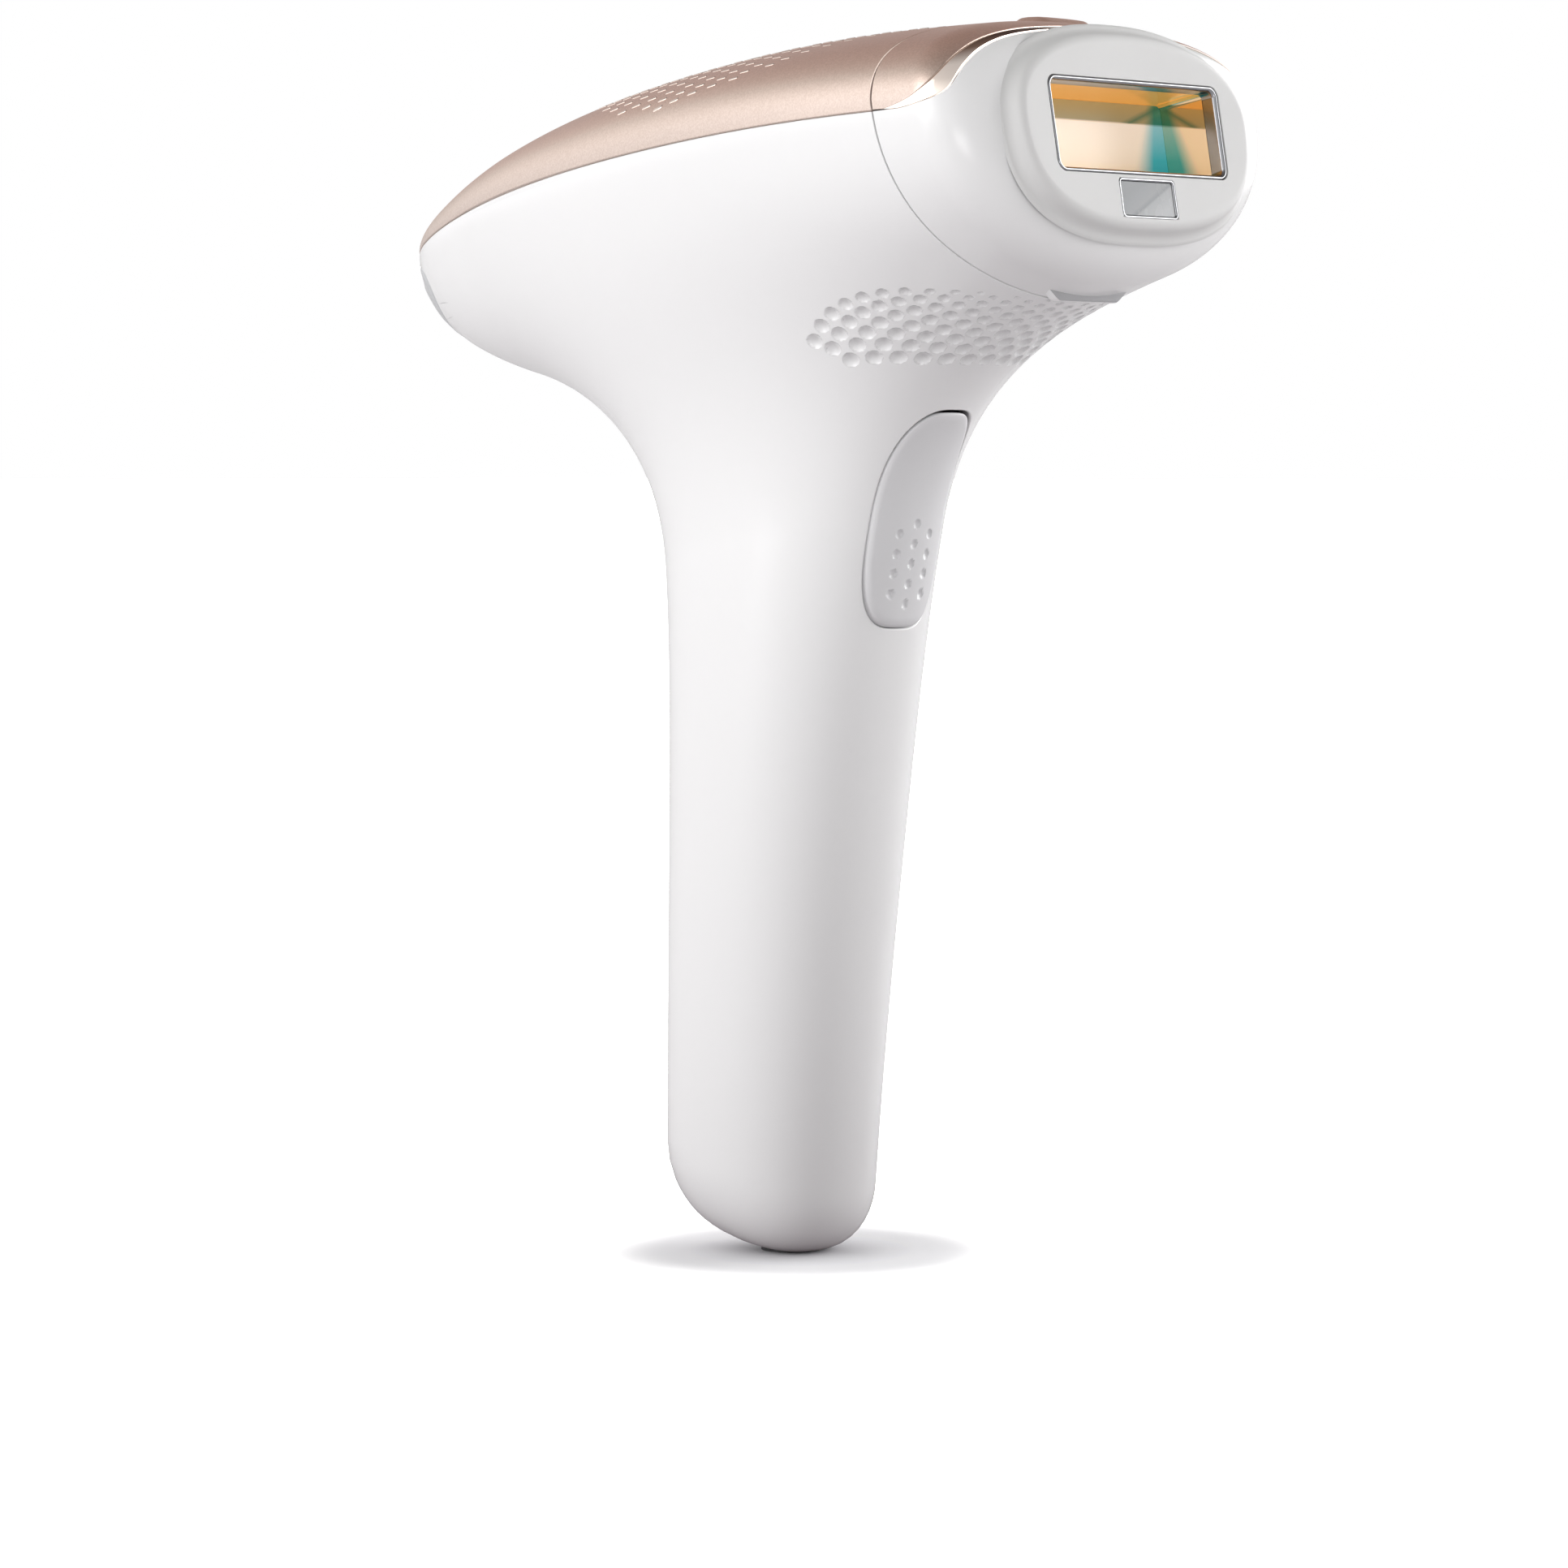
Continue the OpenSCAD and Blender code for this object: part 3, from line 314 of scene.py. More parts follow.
def noise(nt, scale, detail=2.0, rough=0.5, coord="Object"):
    tc = node(nt, "ShaderNodeTexCoord")
    n = node(nt, "ShaderNodeTexNoise")
    n.inputs["Scale"].default_value = scale
    n.inputs["Detail"].default_value = detail
    n.inputs["Roughness"].default_value = rough
    nt.links.new(tc.outputs[coord], n.inputs["Vector"])
    return n.outputs["Fac"]


def ramp(nt, fac, stops, interp="LINEAR"):
    r = node(nt, "ShaderNodeValToRGB")
    r.color_ramp.interpolation = interp
    e = r.color_ramp.elements
    while len(e) < len(stops):
        e.new(0.5)
    for i, (p, c) in enumerate(stops):
        e[i].position = p
        e[i].color = (*c, 1) if len(c) == 3 else c
    nt.links.new(fac, r.inputs["Fac"])
    return r.outputs["Color"]


def bump(nt, b, h, strength, dist):
    n = node(nt, "ShaderNodeBump")
    n.inputs["Strength"].default_value = strength
    n.inputs["Distance"].default_value = dist
    nt.links.new(h, n.inputs["Height"])
    nt.links.new(n.outputs["Normal"], b.inputs["Normal"])


def scaled(nt, fac, lo, hi):
    n = node(nt, "ShaderNodeMapRange")
    n.inputs["From Min"].default_value = 0.3
    n.inputs["From Max"].default_value = 0.7
    n.inputs["To Min"].default_value = lo
    n.inputs["To Max"].default_value = hi
    nt.links.new(fac, n.inputs["Value"])
    return n.outputs[0]


def plastic(name, color, rough, vary=0.02, coat=0.0, grain=0.0, grain_scale=2500, spec=0.5):
    m, nt, b = new_mat(name, color, rough)
    b.inputs["Specular IOR Level"].default_value = spec
    b.inputs["Coat Weight"].default_value = coat
    b.inputs["Coat Roughness"].default_value = 0.06
    f = noise(nt, 60, 3)
    nt.links.new(scaled(nt, f, rough * 0.9, rough * 1.1), b.inputs["Roughness"])
    c2 = tuple(max(0, c - vary) for c in color)
    g = noise(nt, 25, 2)
    nt.links.new(ramp(nt, g, [(0.3, color), (0.7, c2)]), b.inputs["Base Color"])
    if grain:
        bump(nt, b, noise(nt, grain_scale, 2, 0.6), grain, 0.00002)
    return m


def metal(name, color, rough, brushed=0.0):
    m, nt, b = new_mat(name, color, rough, 1.0)
    f = noise(nt, 900, 2)
    nt.links.new(scaled(nt, f, rough * 0.85, rough * 1.15), b.inputs["Roughness"])
    if brushed:
        bump(nt, b, noise(nt, 1800, 3, 0.7), brushed, 0.00001)
    return m


MAT = {}
MAT["white"] = plastic("white_gloss_plastic", (0.86, 0.86, 0.86), 0.24, 0.006, coat=0.35)


def white_with_painted_dimple_shade():
    m = plastic("white_gloss_painted_dimple_shade", (0.86, 0.86, 0.86), 0.24, 0.006, coat=0.35)
    nt = m.node_tree
    b = next(n for n in nt.nodes if n.type == "BSDF_PRINCIPLED")
    # AO darkens the base colour inside the dimples: painted shade in the hollows
    ao = node(nt, "ShaderNodeAmbientOcclusion")
    ao.samples = 6
    ao.only_local = True
    ao.inputs["Distance"].default_value = 0.0012
    c = ramp(nt, ao.outputs["AO"], [(0.40, (0.34, 0.335, 0.34)), (0.80, (0.64, 0.635, 0.64)), (0.97, (0.86, 0.86, 0.86))])
    nt.links.new(c, b.inputs["Base Color"])
    return m


MAT["vented"] = white_with_painted_dimple_shade()
MAT["button"] = plastic("button_grey_plastic", (0.70, 0.70, 0.71), 0.33, 0.01, coat=0.1)
# the face plate is white like the shell; its greyer base colour is painted shade
MAT["plate"] = plastic("plate_painted_shade_plastic", (0.68, 0.68, 0.675), 0.5, 0.008, grain=0.12, grain_scale=3500, spec=0.35)
# darker grey for the recess wall behind the chin tab: painted shade, the tab itself is white
MAT["tab"] = plastic("tab_recess_painted_shade", (0.40, 0.40, 0.41), 0.55, 0.008, grain=0.08, spec=0.2)
MAT["panel"] = plastic("panel_grey_plastic", (0.55, 0.56, 0.57), 0.35, 0.01, coat=0.2)
MAT["carrier"] = plastic("carrier_white_plastic", (0.66, 0.66, 0.66), 0.5, 0.02)
MAT["dark"] = plastic("dark_plastic", (0.03, 0.03, 0.032), 0.45, 0.01, grain=0.2)
MAT["grey_frame"] = plastic("chassis_grey_plastic", (0.11, 0.115, 0.12), 0.5, 0.015, grain=0.2)
MAT["bulkhead"] = plastic("bulkhead_grey_plastic", (0.26, 0.27, 0.29), 0.5, 0.015, grain=0.2)
MAT["red"] = plastic("red_plastic", (0.5, 0.05, 0.03), 0.35, 0.02)
MAT["board"] = plastic("board_green", (0.02, 0.11, 0.05), 0.35, 0.02, coat=0.4)
MAT["sleeve"] = plastic("capacitor_sleeve", (0.02, 0.025, 0.06), 0.25, 0.01, coat=0.3)
MAT["ceramic"] = plastic("ceramic_white", (0.75, 0.73, 0.68), 0.55, 0.03)
MAT["wire_red"] = plastic("wire_red", (0.35, 0.02, 0.02), 0.4, 0.02)
MAT["wire_white"] = plastic("wire_white", (0.7, 0.69, 0.62), 0.45, 0.02)
MAT["steel"] = metal("steel_brushed", (0.62, 0.63, 0.65), 0.28, 0.15)
MAT["chrome"] = metal("bright_chrome", (0.36, 0.365, 0.38), 0.2)
MAT["gold_contact"] = metal("gold_contact", (0.85, 0.62, 0.28), 0.2)
MAT["core"] = metal("coil_core", (0.12, 0.12, 0.13), 0.5, 0.3)
# near-black for the groove round the window frame: painted shade in the gap
MAT["groove_painted_shade"] = plastic("groove_painted_shade", (0.01, 0.01, 0.012), 0.6, 0.0)


def rose_satin():
    m, nt, b = new_mat("rose_gold_satin", (0.70, 0.50, 0.41), 0.34, 0.8)
    tc = node(nt, "ShaderNodeTexCoord")
    v = node(nt, "ShaderNodeTexVoronoi")
    v.inputs["Scale"].default_value = 5200
    nt.links.new(tc.outputs["Object"], v.inputs["Vector"])
    sp = ramp(nt, v.outputs["Color"], [(0.25, (0.62, 0.49, 0.43)), (0.8, (0.69, 0.56, 0.50))])
    # base colour follows the normal's z, paler on the flanks and deeper rose on the crest: a painted reflection of the
    # bright horizon and darker sky
    ge = node(nt, "ShaderNodeNewGeometry")
    gz = node(nt, "ShaderNodeSeparateXYZ")
    nt.links.new(ge.outputs["Normal"], gz.inputs[0])
    painted_reflection_tone = ramp(nt, gz.outputs[2], [(0.05, (0.96, 0.99, 0.99)), (0.45, (1.0, 0.98, 0.94)), (0.8, (1.16, 0.94, 0.86)), (1.0, (1.20, 0.85, 0.74))])
    mul = node(nt, "ShaderNodeMix", data_type="RGBA", blend_type="MULTIPLY")
    mul.inputs[0].default_value = 1.0
    nt.links.new(sp, mul.inputs[6])
    nt.links.new(painted_reflection_tone, mul.inputs[7])
    nt.links.new(mul.outputs[2], b.inputs["Base Color"])
    nt.links.new(scaled(nt, noise(nt, 3500, 3, 0.7), 0.34, 0.46), b.inputs["Roughness"])
    bump(nt, b, noise(nt, 4200, 2, 0.7), 0.25, 0.00002)
    b.inputs["Coat Weight"].default_value = 0.25
    b.inputs["Coat Roughness"].default_value = 0.25
    return m


MAT["rose"] = rose_satin()


def rose_strip():
    m, nt, b = new_mat("rose_gold_polished", (0.86, 0.60, 0.47), 0.07, 1.0)
    ge = node(nt, "ShaderNodeNewGeometry")
    gz = node(nt, "ShaderNodeSeparateXYZ")
    nt.links.new(ge.outputs["Normal"], gz.inputs[0])
    # base colour follows the normal's z, cream on the flanks to dark brown on the crest: a painted reflection
    painted_reflection_tone = ramp(nt, gz.outputs[2], [(0.10, (0.95, 0.84, 0.74)), (0.55, (0.93, 0.78, 0.68)), (0.70, (0.74, 0.48, 0.37)), (0.84, (0.20, 0.09, 0.06)), (1.0, (0.30, 0.15, 0.10))])
    nt.links.new(painted_reflection_tone, b.inputs["Base Color"])
    nt.links.new(scaled(nt, noise(nt, 900, 2), 0.06, 0.085), b.inputs["Roughness"])
    # emission paints a glow where the strip faces the camera and on its low flanks: painted highlight, the trim is no
    # lamp
    lw = node(nt, "ShaderNodeLayerWeight")
    lw.inputs["Blend"].default_value = 0.5
    b.inputs["Emission Color"].default_value = (1.0, 0.97, 0.96, 1)
    g = math_node(nt, "MULTIPLY", math_node(nt, "SUBTRACT", lw.outputs["Facing"], 0.74), 8.0, clamp=True)
    low = ramp(nt, gz.outputs[2], [(0.0, (0.34,) * 3), (0.52, (0.34,) * 3), (0.72, (0.0,) * 3)])
    b.inputs["Emission Color"].default_value = (1.0, 0.90, 0.84, 1)
    nt.links.new(math_node(nt, "ADD", math_node(nt, "MULTIPLY", g, 0.9), low), b.inputs["Emission Strength"])
    return m


MAT["rose_polished"] = rose_strip()
MAT["dash"] = metal("rose_gold_light", (0.88, 0.74, 0.66), 0.32)


def reflector():
    m, nt, b = new_mat("gold_reflector", (0.96, 0.80, 0.58), 0.05, 1.0)
    nt.links.new(scaled(nt, noise(nt, 300, 2), 0.03, 0.08), b.inputs["Roughness"])
    return m


def ceiling():
    m, nt, b = new_mat("gold_reflector_orange", (0.95, 0.55, 0.20), 0.16, 0.7)
    nt.links.new(scaled(nt, noise(nt, 300, 2), 0.12, 0.2), b.inputs["Roughness"])
    # emission makes the orange ceiling glow though it is no lamp: painted glow
    b.inputs["Emission Color"].default_value = (0.9, 0.38, 0.06, 1)
    b.inputs["Emission Strength"].default_value = 0.35
    return m


MAT["reflector"] = reflector()
MAT["ceiling"] = ceiling()


def face_coords(nt):
    """Across (y) and up the face plane (s), in millimetres."""
    tc = node(nt, "ShaderNodeTexCoord")
    sx = node(nt, "ShaderNodeSeparateXYZ")
    nt.links.new(tc.outputs["Object"], sx.inputs[0])
    x = math_node(nt, "SUBTRACT", math_node(nt, "MULTIPLY", sx.outputs[0], 1000.0), float(FC[0]))
    z = math_node(nt, "SUBTRACT", math_node(nt, "MULTIPLY", sx.outputs[2], 1000.0), float(FC[2]))
    y = math_node(nt, "MULTIPLY", sx.outputs[1], 1000.0)
    s = math_node(nt, "ADD", math_node(nt, "MULTIPLY", x, float(FU[0])), math_node(nt, "MULTIPLY", z, float(FU[2])))
    return y, s


def mix(nt, f, a, b):
    n = node(nt, "ShaderNodeMix", data_type="RGBA")
    for s, v in (("Factor", f),):
        if isinstance(v, (int, float)):
            n.inputs[0].default_value = v
        else:
            nt.links.new(v, n.inputs[0])
    for k, v in ((6, a), (7, b)):
        if isinstance(v, tuple):
            n.inputs[k].default_value = (*v, 1) if len(v) == 3 else v
        else:
            nt.links.new(v, n.inputs[k])
    return n.outputs[2]


def filter_painted_reflection_glow():
    """Filter pane with painted reflections: cream below, khaki band above, teal bloom at the far corner, and a painted
    glow.
    """
    m, nt, b = new_mat("filter_painted_reflection_glow", (0.9, 0.8, 0.6), 0.3, 0.0)
    b.inputs["Specular IOR Level"].default_value = 0.25
    y, s = face_coords(nt)
    f = math_node(nt, "MULTIPLY", math_node(nt, "ADD", s, 6.2), 1 / 12.4)
    # band edge at s = 3.2
    e = (3.2 + 6.2) / 12.4
    base = ramp(nt, f, [(0.0, (0.86, 0.62, 0.38)), (0.30, (0.90, 0.78, 0.62)), (e - 0.012, (0.86, 0.80, 0.70)), (e + 0.012, (0.30, 0.26, 0.14)), (1.0, (0.38, 0.29, 0.12))])
    # painted teal bloom, part of the painted reflections
    dy = math_node(nt, "DIVIDE", math_node(nt, "SUBTRACT", y, 17.4), ramp(nt, f, [(0.0, (0.92,) * 3), (e, (0.44,) * 3), (1.0, (0.30,) * 3)]))
    dy = math_node(nt, "MULTIPLY", dy, 0.1)
    bl = math_node(nt, "SUBTRACT", 1.0, math_node(nt, "MULTIPLY", dy, dy), clamp=True)
    bl = math_node(nt, "MULTIPLY", math_node(nt, "POWER", bl, 1.5), 1.35, clamp=True)
    tcol = ramp(nt, f, [(0.05, (0.0, 0.33, 0.39)), (0.35, (0.03, 0.38, 0.44)), (e - 0.02, (0.22, 0.52, 0.60)), (e + 0.012, (0.01, 0.16, 0.12)), (1.0, (0.05, 0.20, 0.11))])
    col = mix(nt, bl, base, tcol)
    # painted oblique dark streak in the khaki band, part of the painted reflections
    d = math_node(nt, "SUBTRACT", math_node(nt, "MULTIPLY", math_node(nt, "SUBTRACT", y, 16.6), 0.36), math_node(nt, "SUBTRACT", s, 5.6))
    st = math_node(nt, "SUBTRACT", 1.0, math_node(nt, "ABSOLUTE", math_node(nt, "MULTIPLY", d, 1.25)), clamp=True)
    up = math_node(nt, "MULTIPLY", math_node(nt, "SUBTRACT", s, 3.15), 8.0, clamp=True)
    st = math_node(nt, "MULTIPLY", math_node(nt, "MULTIPLY", st, up), 0.75)
    col = mix(nt, st, col, (0.02, 0.12, 0.07))
    nt.links.new(col, b.inputs["Base Color"])
    # emission makes the pane glow though it is no lamp: painted glow
    nt.links.new(col, b.inputs["Emission Color"])
    b.inputs["Emission Strength"].default_value = 0.33
    nt.links.new(scaled(nt, noise(nt, 400, 2), 0.28, 0.34), b.inputs["Roughness"])
    return m


MAT["filter"] = filter_painted_reflection_glow()


def sensor_glass():
    m, nt, b = new_mat("sensor_glass", (0.5, 0.52, 0.54), 0.08, 0.0)
    y, s = face_coords(nt)
    # painted diagonal sheen: a painted reflection in the base colour
    d = math_node(nt, "ADD", math_node(nt, "MULTIPLY", y, 0.085), math_node(nt, "MULTIPLY", math_node(nt, "ADD", s, 9.9), -0.16))
    f = math_node(nt, "ADD", d, 0.45, clamp=True)
    c = ramp(nt, f, [(0.0, (0.24, 0.25, 0.26)), (0.45, (0.27, 0.28, 0.29)), (0.56, (0.22, 0.23, 0.24)), (0.62, (0.34, 0.35, 0.36)), (1.0, (0.42, 0.43, 0.44))])
    b.inputs["Specular IOR Level"].default_value = 0.3
    nt.links.new(c, b.inputs["Base Color"])
    nt.links.new(scaled(nt, noise(nt, 500, 2), 0.22, 0.3), b.inputs["Roughness"])
    b.inputs["Metallic"].default_value = 0.0
    return m


MAT["sensor"] = sensor_glass()


def clear_glass(name, color, rough=0.03):
    m, nt, b = new_mat(name, color, rough)
    b.inputs["Transmission Weight"].default_value = 0.9
    b.inputs["IOR"].default_value = 1.45
    nt.links.new(scaled(nt, noise(nt, 200, 2), rough * 0.8, rough * 1.4), b.inputs["Roughness"])
    return m


MAT["tube"] = clear_glass("tube_glass", (0.92, 0.94, 0.96))
MAT["amber"] = clear_glass("amber_glass", (0.95, 0.75, 0.40))
MAT["diffuser"] = plastic("light_diffuser", (0.75, 0.78, 0.82), 0.3, 0.01, coat=0.2)

NODE_MAT = {"top_cover": "rose", "attachment_cap": "rose", "attachment_trim": "rose_polished", "main_housing": "white", "attachment_shell": "white",
            "face_plate": "plate", "window_frame": "chrome", "sensor_frame": "chrome", "sensor_window": "sensor", "light_tunnel": "reflector",
            "attachment_filter": "filter", "attachment_carrier": "carrier", "flash_button": "button", "button_pin": "steel", "button_spring": "steel",
            "flash_switch": "dark", "switch_plunger": "red", "control_panel": "panel", "power_button": "button", "power_switch": "dark",
            "power_plunger": "carrier", "level_lights": "diffuser", "control_board": "board", "bulkhead": "bulkhead", "filter_glass": "amber",
            "lamp_reflector": "reflector", "flash_tube": "tube", "tube_end_left": "ceramic", "tube_end_right": "ceramic", "lamp_holder": "dark",
            "skin_sensor": "board", "contact_pins": "gold_contact", "bulkhead_screws": "steel", "fan_housing": "dark", "fan_rotor": "dark",
            "fan_axle": "steel", "main_board": "board", "capacitor_left": "sleeve", "capacitor_right": "sleeve", "trigger_transformer": "core",
            "charging_transformer": "core", "chassis": "grey_frame", "dc_socket": "dark", "power_wires": "wire_red", "lamp_wires": "wire_white"}
for n, o in NODES.items():
    m = MAT[NODE_MAT.get(n, "dark")]
    if not o.material_slots:
        o.data.materials.append(m)
    for sl in o.material_slots:
        sl.material = m

# ------------------------------------------------------------- button and vents
BZ, BH, BW, BGAP, BN = 106.9, 15.3, 7.5, 0.2, 3.4


def oval(a, grow):
    r = ((np.abs(np.cos(a)) / (BW + grow)) ** BN + (np.abs(np.sin(a)) / (BH + grow)) ** BN) ** (-1 / BN)
    return r * np.cos(a), BZ + r * np.sin(a)


def front_skin(y, z):
    O = np.stack([np.zeros_like(y), y, z], -1)
    return cast(body, O, np.array([1.0, 0, 0]), 60)


def dimples():
    """Staggered arcs of air dimples round the front of the neck, smaller towards the chin."""
    C, R = [], []
    for k in range(12):
        c, r, step = 21.1 + 0.72 * k, 18.15 + 1.23 * k - 0.054 * k * k, 10.8 + 0.5 * k - 0.035 * k * k
        end = 6.5 + 0.5 * k if k <= 2 else 8.5 - 0.5 * k
        for j in np.arange(0.5 if k % 2 == 0 else 0.0, end + 0.1):
            a = math.radians(step * j)
            x, y = c + r * math.cos(a), r * math.sin(a)
            if x >= 54.0:
                continue
            for s in (1, -1) if j else (1,):
                C.append((x, s * y))
                R.append(1.06 * (1.17 - 0.0065 * k * k))
    C = np.array(C)
    O = np.stack([C[:, 0], C[:, 1], np.full(len(C), 150.0)], -1)
    return cast(body, O, np.array([0, 0, -1.0]), 60), np.array(R)


VC, VR = dimples()


def press_in(P, N, C, R, depth=0.5, power=0.8):
    """Pushes round dimples into a skin and tilts its normals to suit."""
    P2, N2 = P.copy(), N.copy()
    flat, nf = P.reshape(-1, 3), N.reshape(-1, 3)
    o, on = P2.reshape(-1, 3), N2.reshape(-1, 3)
    for c, r in zip(C, R):
        near = np.where(np.abs(flat - c).max(1) < r * 1.05)[0]
        if not len(near):
            continue
        d = flat[near] - c
        d = d - nf[near] * (d * nf[near]).sum(1, keepdims=True)
        dist = np.linalg.norm(d, axis=1)
        u = np.clip(dist / r, 0, 1)
        D = depth * r
        dl = D * (1 - u ** 2) ** power
        dd = -2 * u * D * power * np.maximum(1 - u ** 2, 0.12) ** (power - 1) / r
        dd[u >= 1] = 0
        e = d / np.maximum(dist, 1e-6)[:, None]
        o[near] -= nf[near] * dl[:, None]
        on[near] = unit(nf[near] + e * dd[:, None])
    return P2, N2


# --------------------------------------------------------------- main housing
TURN = np.array([2.0, 0, 160.0])


def axis_at(z):
    z = np.asarray(z, float)
    return np.stack([-4 + 6 * np.clip(z - 10, 0, 108) / 108, np.zeros_like(z), z], -1)


def rim_loop(rims):
    """Closed loop from a half rim that starts at the tail and ends at the chin."""
    return np.concatenate([rims, flip(rims[-2:0:-1])])


def housing():
    v = even(part_pt, 0, 1, 98, lambda p: np.where(np.arctan2(p[:, 1], p[:, 0] - TURN[0]) < math.radians(64), 5.0, 1.0))
    tf = np.linspace(0, -90, 1500)
    sp = seam_pt(tf)
    az = np.unwrap(np.arctan2(sp[:, 1], sp[:, 0] - TURN[0]))
    met = np.concatenate([[0], np.cumsum(0.35 * np.linalg.norm(np.diff(sp, axis=0), axis=1) + 40 * np.abs(np.diff(az)))])
    t = np.interp(np.linspace(0, met[-1], 112), met, tf)
    half = np.concatenate([part_pt(v)[:-1], seam_pt(t)])
    Q = rim_loop(half)
    n = grad(body, Q)
    tan = unit(np.roll(Q, -1, 0) - np.roll(Q, 1, 0))
    d = unit(np.cross(n, tan))
    down = np.where((d[:, 2] > 0) & (Q[:, 0] < 44), -1, 1)[:, None]
    # inward is away from the joint line: back along the body on the seam, down on the sides
    ref = np.where(Q[:, :1] > CX - 0.5, np.array([[-1.0, 0, -0.4]]), np.array([[0, 0, -1.0]]))
    sgn = np.sign((d * ref).sum(1, keepdims=True))
    d = d * sgn
    gr = 0.26
    Pg = Q + d * gr
    c = len(Q)
    a = np.arctan2(Pg[:, 1], Pg[:, 0] - TURN[0])
    hc = len(half)
    for j in range(1, hc):
        a[j] = min(a[j], a[j - 1] - 0.0009)
    a[hc:] = -a[hc - 2:0:-1]
    D = np.stack([np.cos(a), np.sin(a), np.zeros(c)], -1)
    hz = np.concatenate([np.arange(10, 88, 2.8), np.arange(88, 118.01, 0.9)])
    ez = np.linspace(0, math.pi / 2, 17)[1:-1]
    rows = []
    for e in ez:
        dd = np.stack([np.cos(a) * math.sin(e), np.sin(a) * math.sin(e), np.full(c, -math.cos(e))], -1)
        rows.append((np.broadcast_to(axis_at(10.0), dd.shape), dd, 40))
    for z in hz:
        rows.append((np.broadcast_to(axis_at(z), D.shape), D, 60))
    O = np.stack([r[0] for r in rows])
    DD = np.stack([r[1] for r in rows])
    P = cast(body, O, DD, 60)
    tt = P[-1] - TURN
    e0 = np.arctan2(tt[:, 2], np.hypot(tt[:, 0], tt[:, 1]))
    g = Pg - TURN
    e1 = np.arctan2(g[:, 2], np.hypot(g[:, 0], g[:, 1]))
    # denser rows where the air dimples are
    zl = np.linspace(119, 160, 42)
    lv = cast(body, axis_at(zl)[:, None] * np.array([0, 0, 1.0]) + np.array([4.0, 0, 0]), np.broadcast_to(D, (42,) + D.shape), 90) - TURN
    le = np.arctan2(lv[..., 2], np.hypot(lv[..., 0], lv[..., 1]))
    ea = np.array([np.interp(127.6, zl, le[:, j]) for j in range(c)])
    eb = np.array([np.interp(140.2, zl, le[:, j]) for j in range(c)])
    ea = np.clip(ea, e0 + 0.02, e1 - 0.06)
    eb = np.clip(eb, ea + 0.02, e1 - 0.02)
    w1, w2, w3 = np.linspace(0, 1, 13)[1:], np.linspace(0, 1, 93)[1:], np.linspace(0, 1, 25)[1:-1]
    e = np.concatenate([e0 + (ea - e0) * w1[:, None], ea + (eb - ea) * w2[:, None], eb + (e1 - eb) * w3[:, None]])
    D2 = np.stack([np.cos(a) * np.cos(e), np.sin(a) * np.cos(e), np.sin(e)], -1)
    P2 = cast(body, np.broadcast_to(TURN, D2.shape), D2, 100)
    P = np.concatenate([P, P2, Pg[None]])
    N = grad(body, P)
    # button opening
    grow = BGAP + 0.3
    y, z = P[..., 1], P[..., 2]
    gv = ((np.abs(y) / (BW + grow)) ** BN + (np.abs(z - BZ) / (BH + grow)) ** BN) ** (1 / BN)
    isf = P[..., 0] > 9
    inside = isf & (gv < 1)
    keep = ~inside
    nb = np.zeros_like(inside)
    for dr in (-1, 0, 1):
        for dc in (-1, 0, 1):
            s = np.roll(inside, (dr, dc), (0, 1))
            nb |= s
    snap = keep & nb
    gy, gz = y[snap] / gv[snap], BZ + (z[snap] - BZ) / gv[snap]
    P[snap] = front_skin(gy, gz)
    # panel opening
    pc = np.array([-71.2, 0, 138.4])
    pa = math.radians(35)
    pn = np.array([-math.cos(pa), 0, -math.sin(pa)])
    pu = np.array([-math.sin(pa), 0, math.cos(pa)])
    q0, q1 = (P - pc) @ pu, P[..., 1]
    gp = np.sqrt((q0 / 7.56) ** 2 + (q1 / 10.36) ** 2)
    isr = P[..., 0] < -58
    ins2 = isr & (gp < 1) & (P[..., 2] < 150)
    keep &= ~ins2
    nb = np.zeros_like(ins2)
    for dr in (-1, 0, 1):
        for dc in (-1, 0, 1):
            nb |= np.roll(ins2, (dr, dc), (0, 1))
    snap2 = keep & nb & isr
    sq0, sq1 = q0[snap2] / gp[snap2], q1[snap2] / gp[snap2]
    O = pc - 9 * pn + sq0[:, None] * pu + sq1[:, None] * FY
    P[snap2] = cast(body, O, pn, 40)
    N = grad(body, P)
    P, N = press_in(P, N, VC, VR)
    sk = Skin()
    sk.grid(P, N, wrap=True, keep=keep)
    foot = cast(body, axis_at(10.0)[None], np.array([[0, 0, -1.0]]), 40)[0]
    sk.fan(P[0], N[0], foot, grad(body, foot[None])[0])
    # rounded joint edge
    sk.lip(Pg, Q, grad(body, Pg), np.where(Q[:, :1] > CX - 0.5, 0.12, 0.015), 1.6, wrap=True)
    # lip of the button opening
    an = np.linspace(0, 2 * math.pi, 200, endpoint=False)
    yo, zo = oval(an, grow)
    yi, zi = oval(an, BGAP)
    Po, Pi = front_skin(yo, zo), front_skin(yi, zi)
    sk.lip(Po, Pi, grad(body, Po), 0.0, 2.2, wrap=True)
    # lip of the panel opening
    for_ = lambda g: cast(body, pc - 9 * pn + ((7.46 + g) * np.cos(an))[:, None] * pu + ((10.26 + g) * np.sin(an))[:, None] * FY, pn, 40)
    A, B = for_(0.1), for_(0.0)
    sk.lip(A, B, grad(body, A), 0.0, 2.2, wrap=True)
    ob = sk.make("housing_skin", "handset", [MAT["vented"]])
    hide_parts("main_housing")
    return ob


